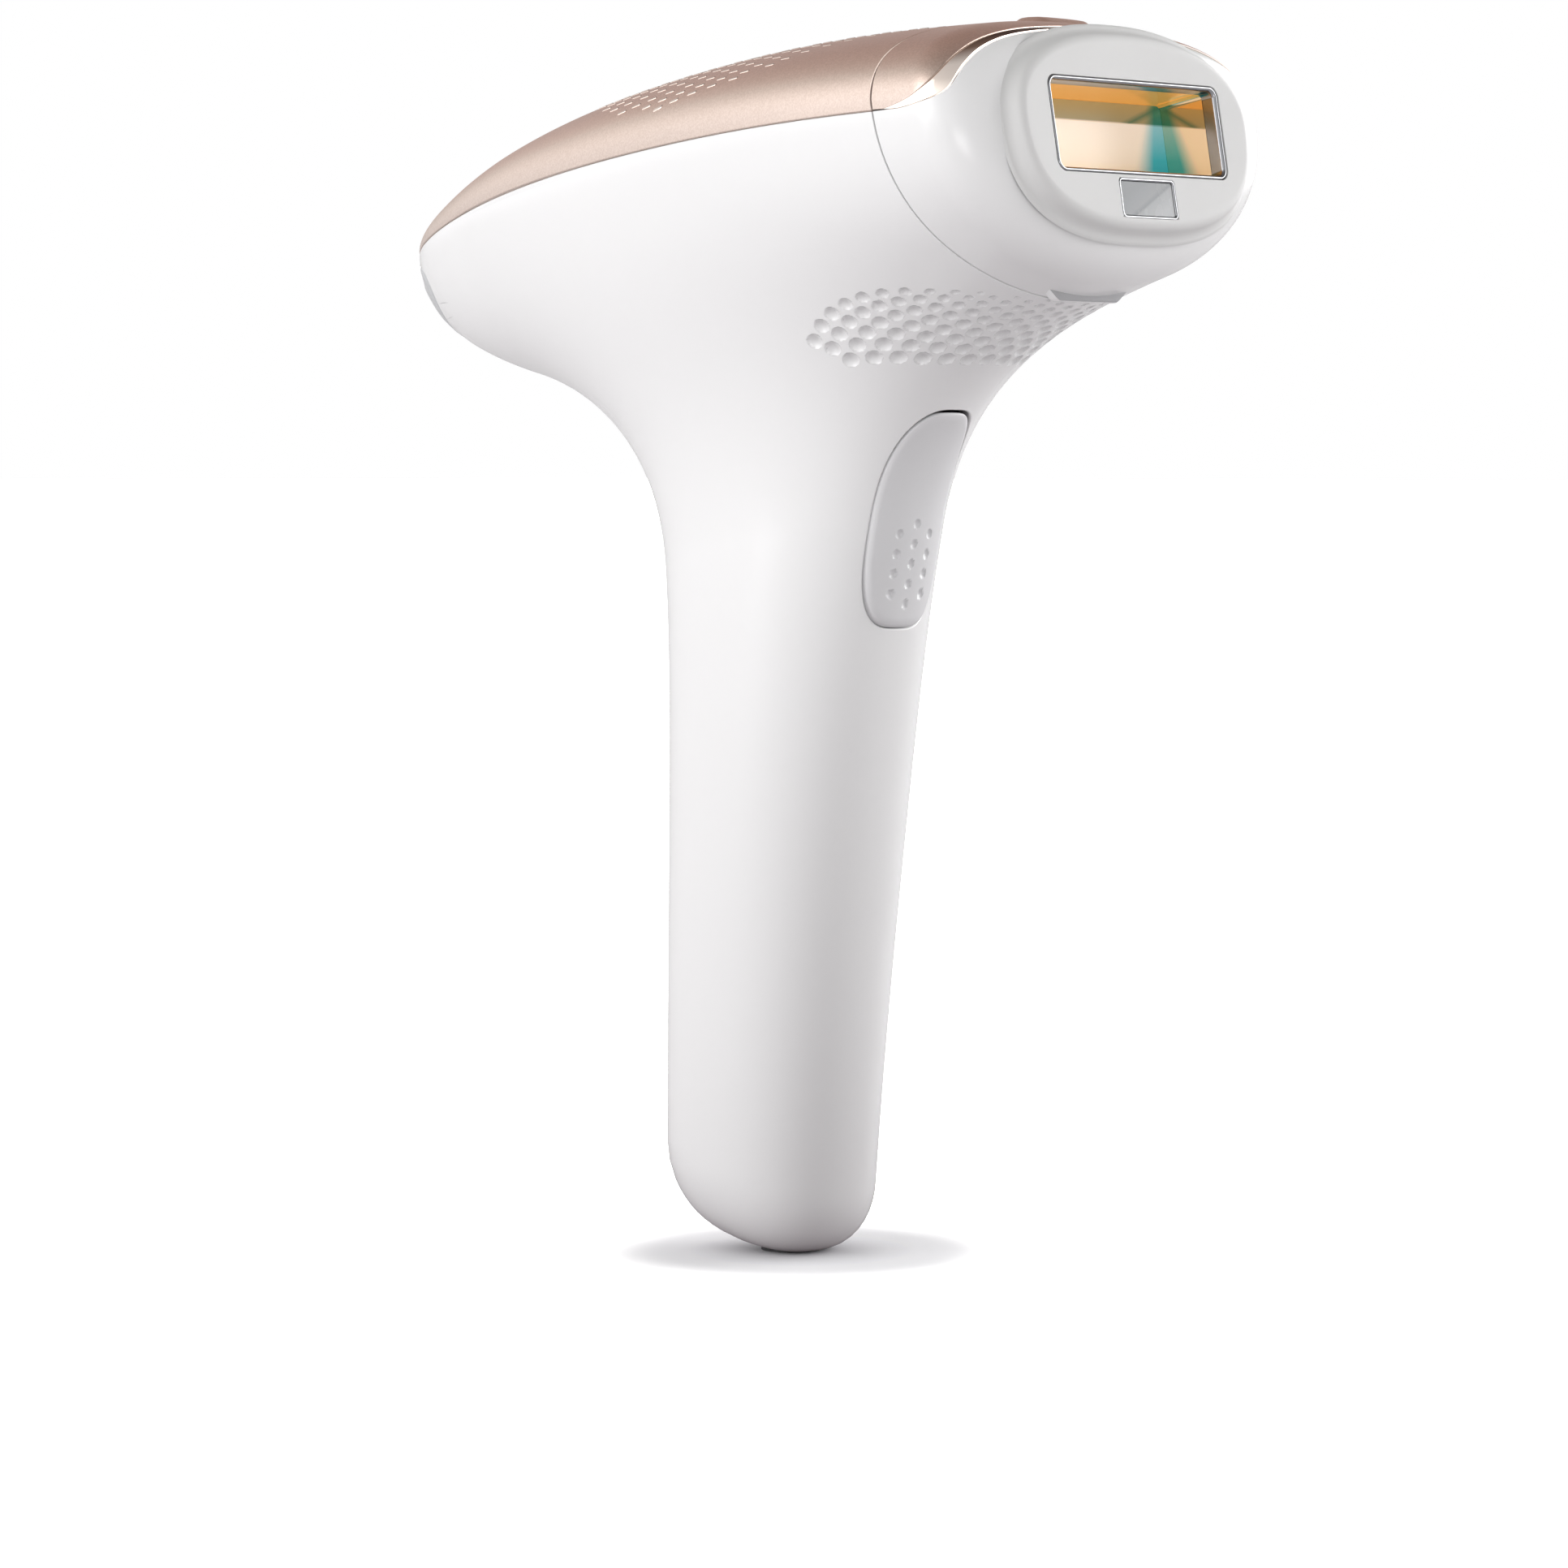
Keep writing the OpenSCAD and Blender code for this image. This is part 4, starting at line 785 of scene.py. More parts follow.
# ------------------------------------------------------------------ top cover
def cover():
    gr = 0.22
    ns, na = 190, 150
    s = np.linspace(0, 1, ns) ** 1.7
    t = np.linspace(0, math.pi, na)
    ct, st = np.cos(t), np.sin(t)
    seam = seam_pt(np.degrees(np.minimum(t, math.pi - t)), gr)
    seam = np.where((t > math.pi / 2)[:, None], flip(seam), seam)
    seam[0, 2] += gr
    seam[-1, 2] += gr
    x0 = TX + 0.5
    X = x0 + (seam[None, :, 0] - x0) * s[:, None]
    Z = mid_z(X) + gr
    O = np.stack([X, np.zeros_like(X), Z], -1)
    D = np.broadcast_to(np.stack([np.zeros(na), ct, st], -1), O.shape)
    P = cast(body, O, D, 60)
    N = grad(body, P)
    sk = Skin()
    sk.grid(P, N)
    tip = np.array([TX + 0.05, 0, float(mid_z(TX + 0.05)) + 0.12])
    # nose
    ring = P[0]
    V = np.vstack([ring, [tip]])
    NN = np.vstack([N[0], [[-1.0, 0, 0.1]]])
    sk.tris(V, NN, [(j, j + 1, len(ring)) for j in range(len(ring) - 1)])
    # joint edge: right side, seam arc, left side
    xs = X[:, 0]
    Qa = np.stack([xs, half_w(xs), mid_z(xs)], -1)
    tq = np.degrees(np.minimum(t, math.pi - t))
    Qs = seam_pt(tq)
    Qs = np.where((t > math.pi / 2)[:, None], flip(Qs), Qs)
    Pg = np.concatenate([P[:, 0], P[-1, 1:-1], P[::-1, -1]])
    Q = np.concatenate([Qa, Qs[1:-1], flip(Qa)[::-1]])
    Q[ns - 1] = Qs[0]
    Q[ns - 1 + na - 1] = Qs[-1]
    ge = np.full((len(Pg), 1), 0.012)
    ge[ns:ns + na - 2] = 0.1
    sk.lip(Pg, Q, grad(body, Pg), ge, 1.6)
    ob = sk.make("cover_skin", "handset", [MAT["rose"]])
    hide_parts("top_cover")
    # dashes: short light ribs in files that slant outward to the front
    dk = Skin()
    L, wd, h = 0.85, 0.2, 0.09
    ys = [29.2, 28.1, 26.8, 25.0, 23.2, 21.3, 19.4, 17.5, 15.6, 13.7, 11.8, 9.9, 8.0, 6.1, 4.2, 2.3]
    for m_, yy in enumerate(ys):
        for k in range(-1, 19):
            x = -1.4 + 2.7 * k + 0.16 * k * k - (3.3 * min(m_, 4) + 3.75 * max(0, m_ - 4))
            if ((x - 9) / 38) ** 2 + (yy / 29.6) ** 2 > 1.03 or not -42 < x < 42:
                continue
            for sd in (1, -1):
                u = np.array([-1.0, -0.96, -0.8, 0.0, 0.8, 0.96, 1.0])
                prof = [(-1.0, -0.03), (-0.85, 0.55 * h), (-0.45, h), (0.45, h), (0.85, 0.55 * h), (1.0, -0.03)]
                G = np.zeros((len(u), len(prof), 3))
                for a_, uu in enumerate(u):
                    f = math.sqrt(max(0.0, 1 - max(0.0, (abs(uu) - 0.75) / 0.25) ** 2))
                    for b_, (w_, hh) in enumerate(prof):
                        G[a_, b_] = (x + uu * L, sd * yy + w_ * wd * max(f, 0.25), hh * f if hh > 0 else hh)
                O = np.stack([G[..., 0], G[..., 1], np.full(G.shape[:2], 160.0)], -1)
                S = cast(body, O, np.array([0, 0, 1.0]), 30)
                n = grad(body, S)
                PP = S + n * G[..., 2:3]
                gn = unit(np.cross(np.gradient(PP, axis=0), np.gradient(PP, axis=1)))
                gn *= np.sign((gn * n).sum(-1, keepdims=True) + 1e-9)
                dk.grid(PP, gn)
    dk.make("cover_dashes", "handset", [MAT["dash"]])
    return ob


# ----------------------------------------------------------------- attachment
PIV = np.array([40.0, 0, 161.0])


def plate_r(a, g):
    top = np.sin(a) > 0
    h = np.where(top, 12.0, 15.0) + g
    n = np.where(top, 2.3, 2.6)
    return ((np.abs(np.cos(a)) / (24.4 + g)) ** n + (np.abs(np.sin(a)) / h) ** n) ** (-1 / n)


def plate_pt(a, g, x):
    r = plate_r(a, g)
    x = np.broadcast_to(np.asarray(x, float), r.shape)
    return FC + x[:, None] * FN + (r * np.cos(a))[:, None] * FY + (1.0 + r * np.sin(a))[:, None] * FU


def ring_pt(t, x, z0=None):
    t = np.radians(np.asarray(t, float))
    x = np.broadcast_to(np.asarray(x, float), t.shape)
    O = np.stack([x, np.zeros_like(t), np.full(t.shape, CZ)], -1)
    D = np.stack([np.zeros_like(t), np.cos(t), np.sin(t)], -1)
    return cast(front, O, D, 60)


def up_x(t):
    return 47.8 + 10.4 * (1 - np.exp(-t / 3.1)) - 0.025 * np.maximum(0, t - 16)


def low_x(t):
    return np.maximum(up_x(t) + 1.0, 49.4 + 10.0 * (1 - np.exp(-t / 1.6)) - 0.035 * np.maximum(0, t - 13))


def mirror_cols(A):
    """Columns for one side (first at the chin or the edge, last on the crest) joined to their mirror."""
    return np.concatenate([A, flip(A[:, ::-1][:, 1:])], 1)


def attachment():
    gr = 0.22
    # shell: columns from seam or trim to plate edge
    tl = even(seam_pt, -90, 0, 96)
    t_up = np.concatenate([np.linspace(0.4, 3, 26)[:-1], np.linspace(3, 12, 28)[:-1], np.linspace(12, 90, 60)])
    A_low = seam_pt(tl, -0.06)
    link = np.linspace(0, 1, 10)[1:-1]
    xl = 46.86 + (float(low_x(np.array([0.4]))[0]) - 46.86) * link
    A_link = ring_pt(np.full(len(link), 0.1) + 0.3 * link, xl)
    A_up = ring_pt(t_up, low_x(t_up) + 0.05)
    Q = np.concatenate([A_low, A_link, A_up])
    ta = np.radians(np.concatenate([tl, 0.1 + 0.3 * link, t_up]))
    B = plate_pt(ta, 1.72, -OFF)
    c = len(Q)
    tan = np.gradient(Q, axis=0)
    n = grad(front, Q)
    d = unit(np.cross(n, tan))
    d *= np.sign((d * (B - Q)).sum(1, keepdims=True))
    Pg = Q + d * gr
    rows = 60
    k = (np.arange(1, rows) / rows)[:, None, None]
    k = k ** 1.0
    D = unit((Pg - PIV) * (1 - k) + (B - PIV) * k)
    P = cast(front, np.broadcast_to(PIV, D.shape), D, 60)
    Bs = cast(front, np.broadcast_to(PIV, B.shape), unit(B - PIV), 60)
    inner = plate_pt(ta, 1.25, -OFF + 0.005)
    P = np.concatenate([Pg[None], P, Bs[None]])
    N = grad(front, P)
    Pm, Nm = mirror_cols(P), np.concatenate([N, flip(N[:, ::-1][:, 1:])], 1)
    sk = Skin()
    sk.grid(Pm, Nm)
    Qm = mirror_cols(Q[None])[0]
    gl = np.concatenate([np.full(len(tl), 0.08), np.full(c - len(tl), 0.06)])[:, None]
    sk.lip(Pm[0], Qm, Nm[0], np.concatenate([gl, gl[::-1][1:]]), 1.5)
    nb = Nm[-1]
    Im = mirror_cols(inner[None])[0]
    sk.grid(np.stack([Pm[-1], Im]), np.stack([nb, np.tile(FN, (len(Im), 1))]))
    # release tab under the chin
    z0 = float(seam_pt(np.array([-90.0]))[0, 2])
    sec = [(-8.9, 1.9), (-8.4, 1.45), (-7.6, 0.85), (-6.8, 0.25), (-6.3, -0.05), (-5.9, -0.13), (-3.0, -0.15), (0.0, -0.15),
           (3.0, -0.15), (5.9, -0.13), (6.3, -0.05), (6.8, 0.25), (7.6, 0.85), (8.4, 1.45), (8.9, 1.9)]
    col = [(54.62, 0.5), (54.64, 0.12), (54.75, 0.0), (55.3, 0.0), (55.95, 0.03), (56.12, 0.12), (56.2, 0.35), (56.25, 1.0), (56.3, 2.2)]
    G = np.array([[(x, y, z0 + h + u) for y, h in sec] for x, u in col])
    gn = unit(np.cross(np.gradient(G, axis=0), np.gradient(G, axis=1)))
    gn *= -np.sign(gn[3, 7, 2])
    gn[7:] = unit(gn[7:] + np.array([2.0, 0, 0]))
    sk.grid(G[:6], gn[:6])
    # the upright recess wall takes the darker tab material: painted shade
    sk.grid(G[5:], gn[5:], mat=1)
    ob = sk.make("attachment_skin", "attachment", [MAT["white"], MAT["tab"]])
    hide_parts("attachment_shell")

    # cap: seam to trim
    tc = np.concatenate([np.linspace(0.35, 3, 24)[:-1], np.linspace(3, 12, 26)[:-1], np.linspace(12, 90, 70)])
    S = seam_pt(tc, -0.06)
    E = ring_pt(tc, up_x(tc) - 0.05)
    rows = 30
    k = np.linspace(0, 1, rows)
    x0 = S[:, 0] + gr
    x1 = up_x(tc) - 0.05 - gr
    X = x0[None] * (1 - k[:, None]) + x1[None] * k[:, None]
    P = ring_pt(np.broadcast_to(tc, X.shape), X)
    N = grad(front, P)
    Pm, Nm = mirror_cols(P), np.concatenate([N, flip(N[:, ::-1][:, 1:])], 1)
    sk = Skin()
    sk.grid(Pm, Nm)
    Sm, Em = mirror_cols(S[None])[0], mirror_cols(E[None])[0]
    sk.lip(Pm[0], Sm, Nm[0], 0.06, 1.5)
    sk.lip(Pm[-1], Em, Nm[-1], 0.06, 1.5)
    # raised tab on the crest
    zc = float(seam_pt(np.array([90.0]))[0, 2])
    xs = [46.95, 47.15, 47.6, 48.6, 50.4, 51.6, 52.5, 53.2]
    hs = [0.0, 0.62, 0.86, 0.92, 0.88, 0.66, 0.25, -0.25]
    G, GN = [], []
    for x, h in zip(xs, hs):
        row, rn = [], []
        wt = 4.2 - (0.6 if x > 52 else 0)
        for y, f in ((-wt - 1.9, -0.9), (-wt - 1.2, 0.25), (-wt - 0.55, 0.8), (-wt, 0.97), (-wt * 0.5, 1.0), (0, 1.0), (wt * 0.5, 1.0), (wt, 0.97), (wt + 0.55, 0.8), (wt + 1.2, 0.25), (wt + 1.9, -0.9)):
            base = cast(front, np.array([[x, y, 165.0]]), np.array([[0, 0, 1.0]]), 30)[0]
            row.append(base + np.array([0, 0, h * f if f > 0 else -0.15]))
        G.append(row)
    G = np.array(G)
    gu, gv = np.gradient(G, axis=0), np.gradient(G, axis=1)
    GN = unit(np.cross(gu, gv))
    GN *= np.sign(GN[..., 2:3] + 1e-9)
    sk.grid(G, GN)
    ob = sk.make("cap_skin", "attachment", [MAT["rose"]])
    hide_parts("attachment_cap")

    # trim: thin bright strip
    A, B = ring_pt(tc, up_x(tc) + 0.02), ring_pt(tc, low_x(tc) - 0.02)
    g2 = 0.16
    k = np.linspace(0, 1, 14)
    x0, x1 = up_x(tc) + 0.02 + g2, low_x(tc) - 0.02 - g2
    X = x0[None] * (1 - k[:, None]) + x1[None] * k[:, None]
    P = ring_pt(np.broadcast_to(tc, X.shape), X)
    N = grad(front, P)
    Pm, Nm = mirror_cols(P), np.concatenate([N, flip(N[:, ::-1][:, 1:])], 1)
    sk = Skin()
    sk.grid(Pm, Nm)
    sk.lip(Pm[0], mirror_cols(A[None])[0], Nm[0], 0.05, 1.5)
    sk.lip(Pm[-1], mirror_cols(B[None])[0], Nm[-1], 0.05, 1.5)
    ob = sk.make("trim_skin", "attachment", [MAT["rose_polished"]])
    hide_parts("attachment_trim")


def outline(w, h, r, m=10, zc=0.0, grow=0.0):
    """Rounded rectangle in face coordinates, with outward normals."""
    pts, nrm = [], []
    for cx, cy, a0 in ((1, 1, 0), (-1, 1, 90), (-1, -1, 180), (1, -1, 270)):
        for a in np.radians(np.linspace(a0, a0 + 90, m)):
            pts.append((cx * (w / 2 - r) + (r + grow) * math.cos(a), cy * (h / 2 - r) + (r + grow) * math.sin(a) + zc))
            nrm.append((math.cos(a), math.sin(a)))
    return np.array(pts), np.array(nrm)


def on_face(p, x):
    x = np.broadcast_to(np.asarray(x, float), p.shape[:1])
    return FC + x[:, None] * FN + p[:, :1] * FY + p[:, 1:] * FU


def rim_sweep(sk, w, h, r, prof, zc=0.0, mat=0, m=12, smooth=True):
    """Sweeps a profile [(grow, x)] round a rounded rectangle."""
    prof = np.array(prof, float)
    if smooth:
        tg = np.gradient(prof, axis=0)
        segs = [(prof, tg)]
    else:
        segs = [(prof[i:i + 2], np.tile(prof[i + 1] - prof[i], (2, 1))) for i in range(len(prof) - 1)]
    for pr, tg in segs:
        P, N = [], []
        for (g, x), (dg, dx) in zip(pr, tg):
            p, nn = outline(w, h, r, m, zc, g)
            P.append(on_face(p, x))
            L = math.hypot(dg, dx) or 1
            a, b = dx / L, -dg / L
            N.append(a * (nn[:, :1] * FY + nn[:, 1:] * FU) + b * FN)
        P, N = np.array(P), np.array(N)
        # make normals face outwards from the material: profile runs inside to outside over the top
        sk.grid(P, N, wrap=True, mat=mat)


WW, WH = 34.8, 12.1


def face():
    # plate: flat field with two openings, soft edge
    k = 220
    an = np.linspace(0, 2 * math.pi, k, endpoint=False)
    prof = [(1.95, -2.7), (1.7, -2.42), (1.45, -2.31), (1.2, -2.2), (0.92, -2.0), (0.7, -1.72), (0.5, -1.38), (0.33, -1.02), (0.15, -0.68), (-0.08, -0.4), (-0.4, -0.18), (-0.8, -0.05), (-1.25, 0.0)]
    g = np.array(prof)
    tg = np.gradient(g, axis=0)
    P, N = [], []
    for (gg, x), (dg, dx) in zip(prof, tg):
        p = plate_pt(an, gg, x)
        t = unit(np.roll(p, -1, 0) - np.roll(p, 1, 0))
        out = unit(np.cross(t, FN))
        L = math.hypot(dg, dx)
        P.append(p)
        N.append(out * (dx / L) + FN * (-dg / L))
    sk = Skin()
    N[-1] = np.tile(FN, (k, 1))
    sk.grid(np.array(P), np.array(N), wrap=True)
    hole1, _ = outline(WW + 2.1, WH + 1.3, 1.7, 12)
    hole2, _ = outline(12.1, 5.65, 0.6, 8, -9.9)
    outer = plate_pt(an, -1.25, 0.0)
    o2 = np.stack([outer[:, 1], (outer - FC) @ FU], -1)
    vs = [Vector(v) for v in np.vstack([o2, hole1, hole2]).tolist()]
    ed, b = [], 0
    for m in (len(o2), len(hole1), len(hole2)):
        ed += [(b + i, b + (i + 1) % m) for i in range(m)]
        b += m
    rv, re, rf, *_ = delaunay_2d_cdt(vs, ed, [], 0, 1e-6)
    rv = np.array([tuple(v) for v in rv])

    def in_rect(p, w, h, zc):
        return abs(p[0]) < w / 2 - 0.02 and abs(p[1] - zc) < h / 2 - 0.02

    F = []
    for f in rf:
        c = rv[list(f)].mean(0)
        if in_rect(c, WW + 2.1, WH + 1.3, 0) or in_rect(c, 12.1, 5.65, -9.9):
            continue
        e = rv[list(f)]
        r = math.hypot(c[0], c[1] - 1.0)
        a = math.atan2(c[1] - 1.0, c[0])
        if r > plate_r(np.array([a]), -1.2)[0]:
            continue
        F.append(tuple(f))
    V = on_face(rv, 0.0)
    sk.tris(V, np.tile(FN, (len(V), 1)), F)
    # soft inner corners and walls of the openings
    for w, h, r, zc in ((WW + 2.1, WH + 1.3, 1.7, 0), (12.1, 5.65, 0.6, -9.9)):
        rim_sweep(sk, w, h, r, [(0.0, 0.0), (-0.03, -0.02), (-0.05, -0.07), (-0.05, -1.6)], zc)
    ob = sk.make("plate_skin", "attachment", [MAT["plate"]])
    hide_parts("face_plate")

    # window frame: groove painted near-black (painted shade), bright rolled lip, inner wall
    sk = Skin()
    w, h, r = WW + 1.0, WH + 0.62, 1.35
    rim_sweep(sk, w, h, r, [(0.44, -0.6), (0.44, -0.35)], mat=1)
    rim_sweep(sk, w, h, r, [(0.44, -0.34), (0.3, -0.34)], mat=1, smooth=False)
    lip = [(0.24, -0.5), (0.24, -0.2), (0.20, -0.1), (0.1, -0.03), (0.0, 0.0), (-0.12, -0.04), (-0.24, -0.14), (-0.34, -0.3)]
    rim_sweep(sk, w, h, r, lip)
    rim_sweep(sk, w, h, r, [(-0.34, -0.3), (-0.4, -0.42), (-0.44, -0.6), (-0.46, -1.6), (-0.46, -2.2)])
    ob = sk.make("window_rim", "attachment", [MAT["chrome"], MAT["groove_painted_shade"]])
    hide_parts("window_frame")

    # tunnel: four mirror walls with round corners, orange ceiling
    sk = Skin()
    m = 10
    p, nn = outline(WW - 0.02, WH - 0.02, 0.9, m)
    x = np.array([-2.2, -4, -6, -8, -9.7, -11.2])
    P = np.stack([on_face(p, xx) for xx in x])
    N = np.broadcast_to(-(nn[:, :1] * FY + nn[:, 1:] * FU), P.shape)
    c = len(p)
    ceil_cols = [j for j in range(c) if nn[j, 1] > 0.6]
    up_ = (nn[:, 1] > 0.6)
    j = np.arange(c)
    both = up_ & up_[(j + 1) % c]
    for want, mat_i in ((False, 0), (True, 1)):
        for a in j[both == want]:
            q = (a + 1) % c
            sk.grid(P[:, [a, q]], N[:, [a, q]], mat=mat_i)
    ob = sk.make("tunnel_walls", "attachment", [MAT["reflector"], MAT["ceiling"]])
    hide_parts("light_tunnel")

    # filter pane
    sk = Skin()
    p, nn = outline(WW - 0.1, WH - 0.1, 0.9, m)
    V = on_face(p, -9.7)
    ctr = FC - 9.7 * FN
    sk.fan(V, np.tile(FN, (len(V), 1)), ctr, FN)
    V2 = on_face(p, -11.25)
    sk.fan(V2, np.tile(-FN, (len(V2), 1)), FC - 11.25 * FN, -FN)
    sk.grid(np.stack([V, V2]), np.stack([nn[:, :1] * FY + nn[:, 1:] * FU] * 2), wrap=True)
    ob = sk.make("filter_pane", "attachment", [MAT["filter"]])
    if "attachment_filter" in NODES:
        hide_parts("attachment_filter")

    # sensor pane and rim
    sk = Skin()
    sw, sh = 10.8, 4.55
    rim_sweep(sk, sw + 0.6, sh + 0.5, 0.5, [(0.30, -0.5), (0.30, -0.12), (0.22, -0.03), (0.1, 0.0), (-0.02, -0.03), (-0.1, -0.1), (-0.14, -0.2), (-0.14, -0.5)], -9.9)
    ob = sk.make("sensor_rim", "attachment", [MAT["chrome"]])
    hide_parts("sensor_frame")
    sk = Skin()
    p, nn = outline(sw + 0.2, sh + 0.1, 0.3, 6, -9.9)
    V = on_face(p, -0.22)
    sk.fan(V, np.tile(FN, (len(V), 1)), FC - 0.22 * FN - 9.9 * FU, FN)
    V2 = on_face(p, -1.6)
    sk.grid(np.stack([V, V2]), np.stack([nn[:, :1] * FY + nn[:, 1:] * FU] * 2), wrap=True)
    ob = sk.make("sensor_pane", "attachment", [MAT["sensor"]])
    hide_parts("sensor_window")


# --------------------------------------------------------------- flash button
def button():
    m = 200
    an = np.linspace(0, 2 * math.pi, m, endpoint=False)

    def proud(z):
        return 0.25 + 0.75 * np.clip((BZ + BH - z) / (2 * BH), 0, 1) ** 1.5

    rr = np.concatenate([np.linspace(0.02, 0.9, 60), np.linspace(0.9, 1.0, 14)[1:]])
    # edge rounding: height lost against distance from the edge, in mm
    P = []
    for r in rr:
        y, z = oval(an, 0)
        y, z = y * r, BZ + (z - BZ) * r
        s = front_skin(y, z)
        e = (1 - r) * 7.15
        R = 0.62
        drop = 0.0
        if e < R:
            drop = R - math.sqrt(max(0.0, R * R - (R - e) ** 2))
        # soft dish
        s[:, 0] += proud(z) * (1 - 0.22 * r * r) - drop
        P.append(s)
    # wall
    y, z = oval(an, 0)
    s = front_skin(y, z)
    s[:, 0] -= 2.0
    P.append(s)
    P = np.array(P)
    du = np.roll(P, -1, 1) - np.roll(P, 1, 1)
    dv = np.gradient(P, axis=0)
    N = unit(np.cross(du, dv))
    N *= np.sign((N[30] * np.array([1.0, 0, 0])).sum())
    N[-2] = unit(N[-3] * 0.3 + np.cross(du[-2], np.array([1.0, 0, 0])) / np.linalg.norm(du[-2], axis=1, keepdims=True) * 0.0 + np.stack([0 * an + 0.5, np.cos(an), np.sin(an)], -1) * 0.9)
    N[-1] = np.stack([0 * an, np.cos(an), np.sin(an)], -1)
    C = [(0, 106.4 - 2.86 * i) for i in range(5)] + [(s * 3.2, 104.97 - 2.86 * i) for i in range(4) for s in (-1, 1)]
    C = np.array(C)
    S = front_skin(C[:, 0], C[:, 1])
    S[:, 0] += proud(C[:, 1]) * 0.97
    # put dimple centres on the surface itself
    flat = P[:-2].reshape(-1, 3)
    for i in range(len(S)):
        j = np.argmin(np.abs(flat[:, 1:] - S[i, 1:]).sum(1))
        S[i, 0] = flat[j, 0]
    P2, N2 = press_in(P, N, S, np.full(len(S), 0.74), 0.5, 0.9)
    sk = Skin()
    sk.grid(P2, N2, wrap=True)
    tip = P2[0].mean(0)
    sk.fan(P2[0], N2[0], tip, unit(N2[0].mean(0)))
    ob = sk.make("button_pad", "flash_button", [MAT["button"]])
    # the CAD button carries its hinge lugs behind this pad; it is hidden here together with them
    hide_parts("flash_button")
    return ob


# ------------------------------------------------- power button and level lights
PANEL_C = np.array([-71.2,0,138.4], float)
PN = np.array([-math.cos(math.radians(35)), 0, -math.sin(math.radians(35))])
PT = np.array([-math.sin(math.radians(35)), 0, math.cos(math.radians(35))])


def on_tail(u, y, lift):
    """Point of the tail at u up the panel and y across it, raised by lift."""
    O = PANEL_C - 9 * PN + u[:, None] * PT + y[:, None] * np.array([0, 1.0, 0])
    P = cast(body, O, np.broadcast_to(PN, O.shape), 40)
    return P + np.asarray(lift) * PN


def lens(sk, u0, y0, r, lift, edge, depth, m):
    an = np.linspace(0, 2 * math.pi, m, endpoint=False)
    rows, nrm = [], []
    for q, l in [(0.02, lift), (0.4, lift), (0.8, lift), (1 - edge, lift), (1 - edge * 0.3, lift - edge * r * 0.3), (1.0, lift - edge * r)]:
        P = on_tail(u0 + r * q * np.cos(an), y0 + r * q * np.sin(an), l)
        rows.append(P)
        k = max(0.0, (q - (1 - edge)) / edge) if q > 0.8 else 0.0
        out = np.cos(an)[:, None] * PT + np.sin(an)[:, None] * np.array([0, 1.0, 0])
        nrm.append(unit(grad(body, P) * (1 - 0.7 * k) + out * k))
    rows.append(rows[-1] - depth * PN)
    nrm.append(out)
    sk.grid(np.array(rows), np.array(nrm), wrap=True)
    sk.fan(rows[0], nrm[0], rows[0].mean(0), unit(nrm[0].mean(0)))


def tail_parts():
    sk = Skin()
    lens(sk, -2.0, 0.0, 3.62, 0.1, 0.08, 1.6, 72)
    ob = sk.make("power_cap", "power_button", [MAT["button"]])
    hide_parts("power_button")
    sk = Skin()
    for j in range(-2, 3):
        lens(sk, 4.3 - 0.25 * j * j, j * 2.6, 0.68, 0.02, 0.15, 0.8, 20)
    ob = sk.make("light_lenses", "handset", [MAT["diffuser"]])
    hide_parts("level_lights")


housing()
cover()
attachment()
face()
button()
tail_parts()

# ---------------------------------------------------------------- the studio
# directions relative to the camera: right, up, towards the camera
AZ, EL = math.radians(43), math.radians(3.34)
R_ = np.array([math.cos(AZ), math.sin(AZ), 0])
V_ = np.array([-math.sin(AZ) * math.cos(EL), math.cos(AZ) * math.cos(EL), -math.sin(EL)])
U_ = np.cross(R_, V_)


def plane(name, pts, mat):
    me = bpy.data.meshes.new(name)
    me.from_pydata([tuple(p) for p in pts], [], [tuple(range(len(pts)))])
    me.materials.append(mat)
    ob = bpy.data.objects.new(name, me)
    bpy.context.scene.collection.objects.link(ob)
    return ob


def floor_material():
    """Pale paper floor: full white away from the foot, with the soft shadow kept near it; that shadow is partly real
    and partly painted shade from a lower camera gain near the foot.
    """
    m = bpy.data.materials.new("floor_pale")
    m.use_nodes = True
    nt = m.node_tree
    nt.nodes.clear()
    out = node(nt, "ShaderNodeOutputMaterial")
    d = node(nt, "ShaderNodeBsdfDiffuse")
    tc = node(nt, "ShaderNodeTexCoord")
    sx = node(nt, "ShaderNodeSeparateXYZ")
    nt.links.new(tc.outputs["Object"], sx.inputs[0])
    x = math_node(nt, "SUBTRACT", sx.outputs[0], FLOOR_C[0])
    y = math_node(nt, "SUBTRACT", sx.outputs[1], FLOOR_C[1])
    r = math_node(nt, "SQRT", math_node(nt, "ADD", math_node(nt, "MULTIPLY", x, x), math_node(nt, "MULTIPLY", y, y)))
    # camera-ray gain rises with distance from the foot: low near the foot as painted shade, high enough further out to
    # clip to white
    g = ramp(nt, math_node(nt, "MULTIPLY", r, 10.0), FLOOR_GAIN, "EASE")
    lp = node(nt, "ShaderNodeLightPath")
    f = math_node(nt, "MULTIPLY", noise(nt, 3, 2), 0.01)
    h = ramp(nt, math_node(nt, "MULTIPLY", r, 2.0), FLOOR_BOUNCE)
    c = mix(nt, lp.outputs["Is Camera Ray"], h, g)
    sc_ = node(nt, "ShaderNodeVectorMath", operation="SCALE")
    sc_.inputs["Scale"].default_value = 4.0
    k = node(nt, "ShaderNodeVectorMath", operation="SUBTRACT")
    nt.links.new(c, sc_.inputs[0])
    nt.links.new(sc_.outputs[0], k.inputs[0])
    nt.links.new(f, k.inputs[1])
    nt.links.new(k.outputs[0], d.inputs["Color"])
    nt.links.new(d.outputs[0], out.inputs["Surface"])
    return m


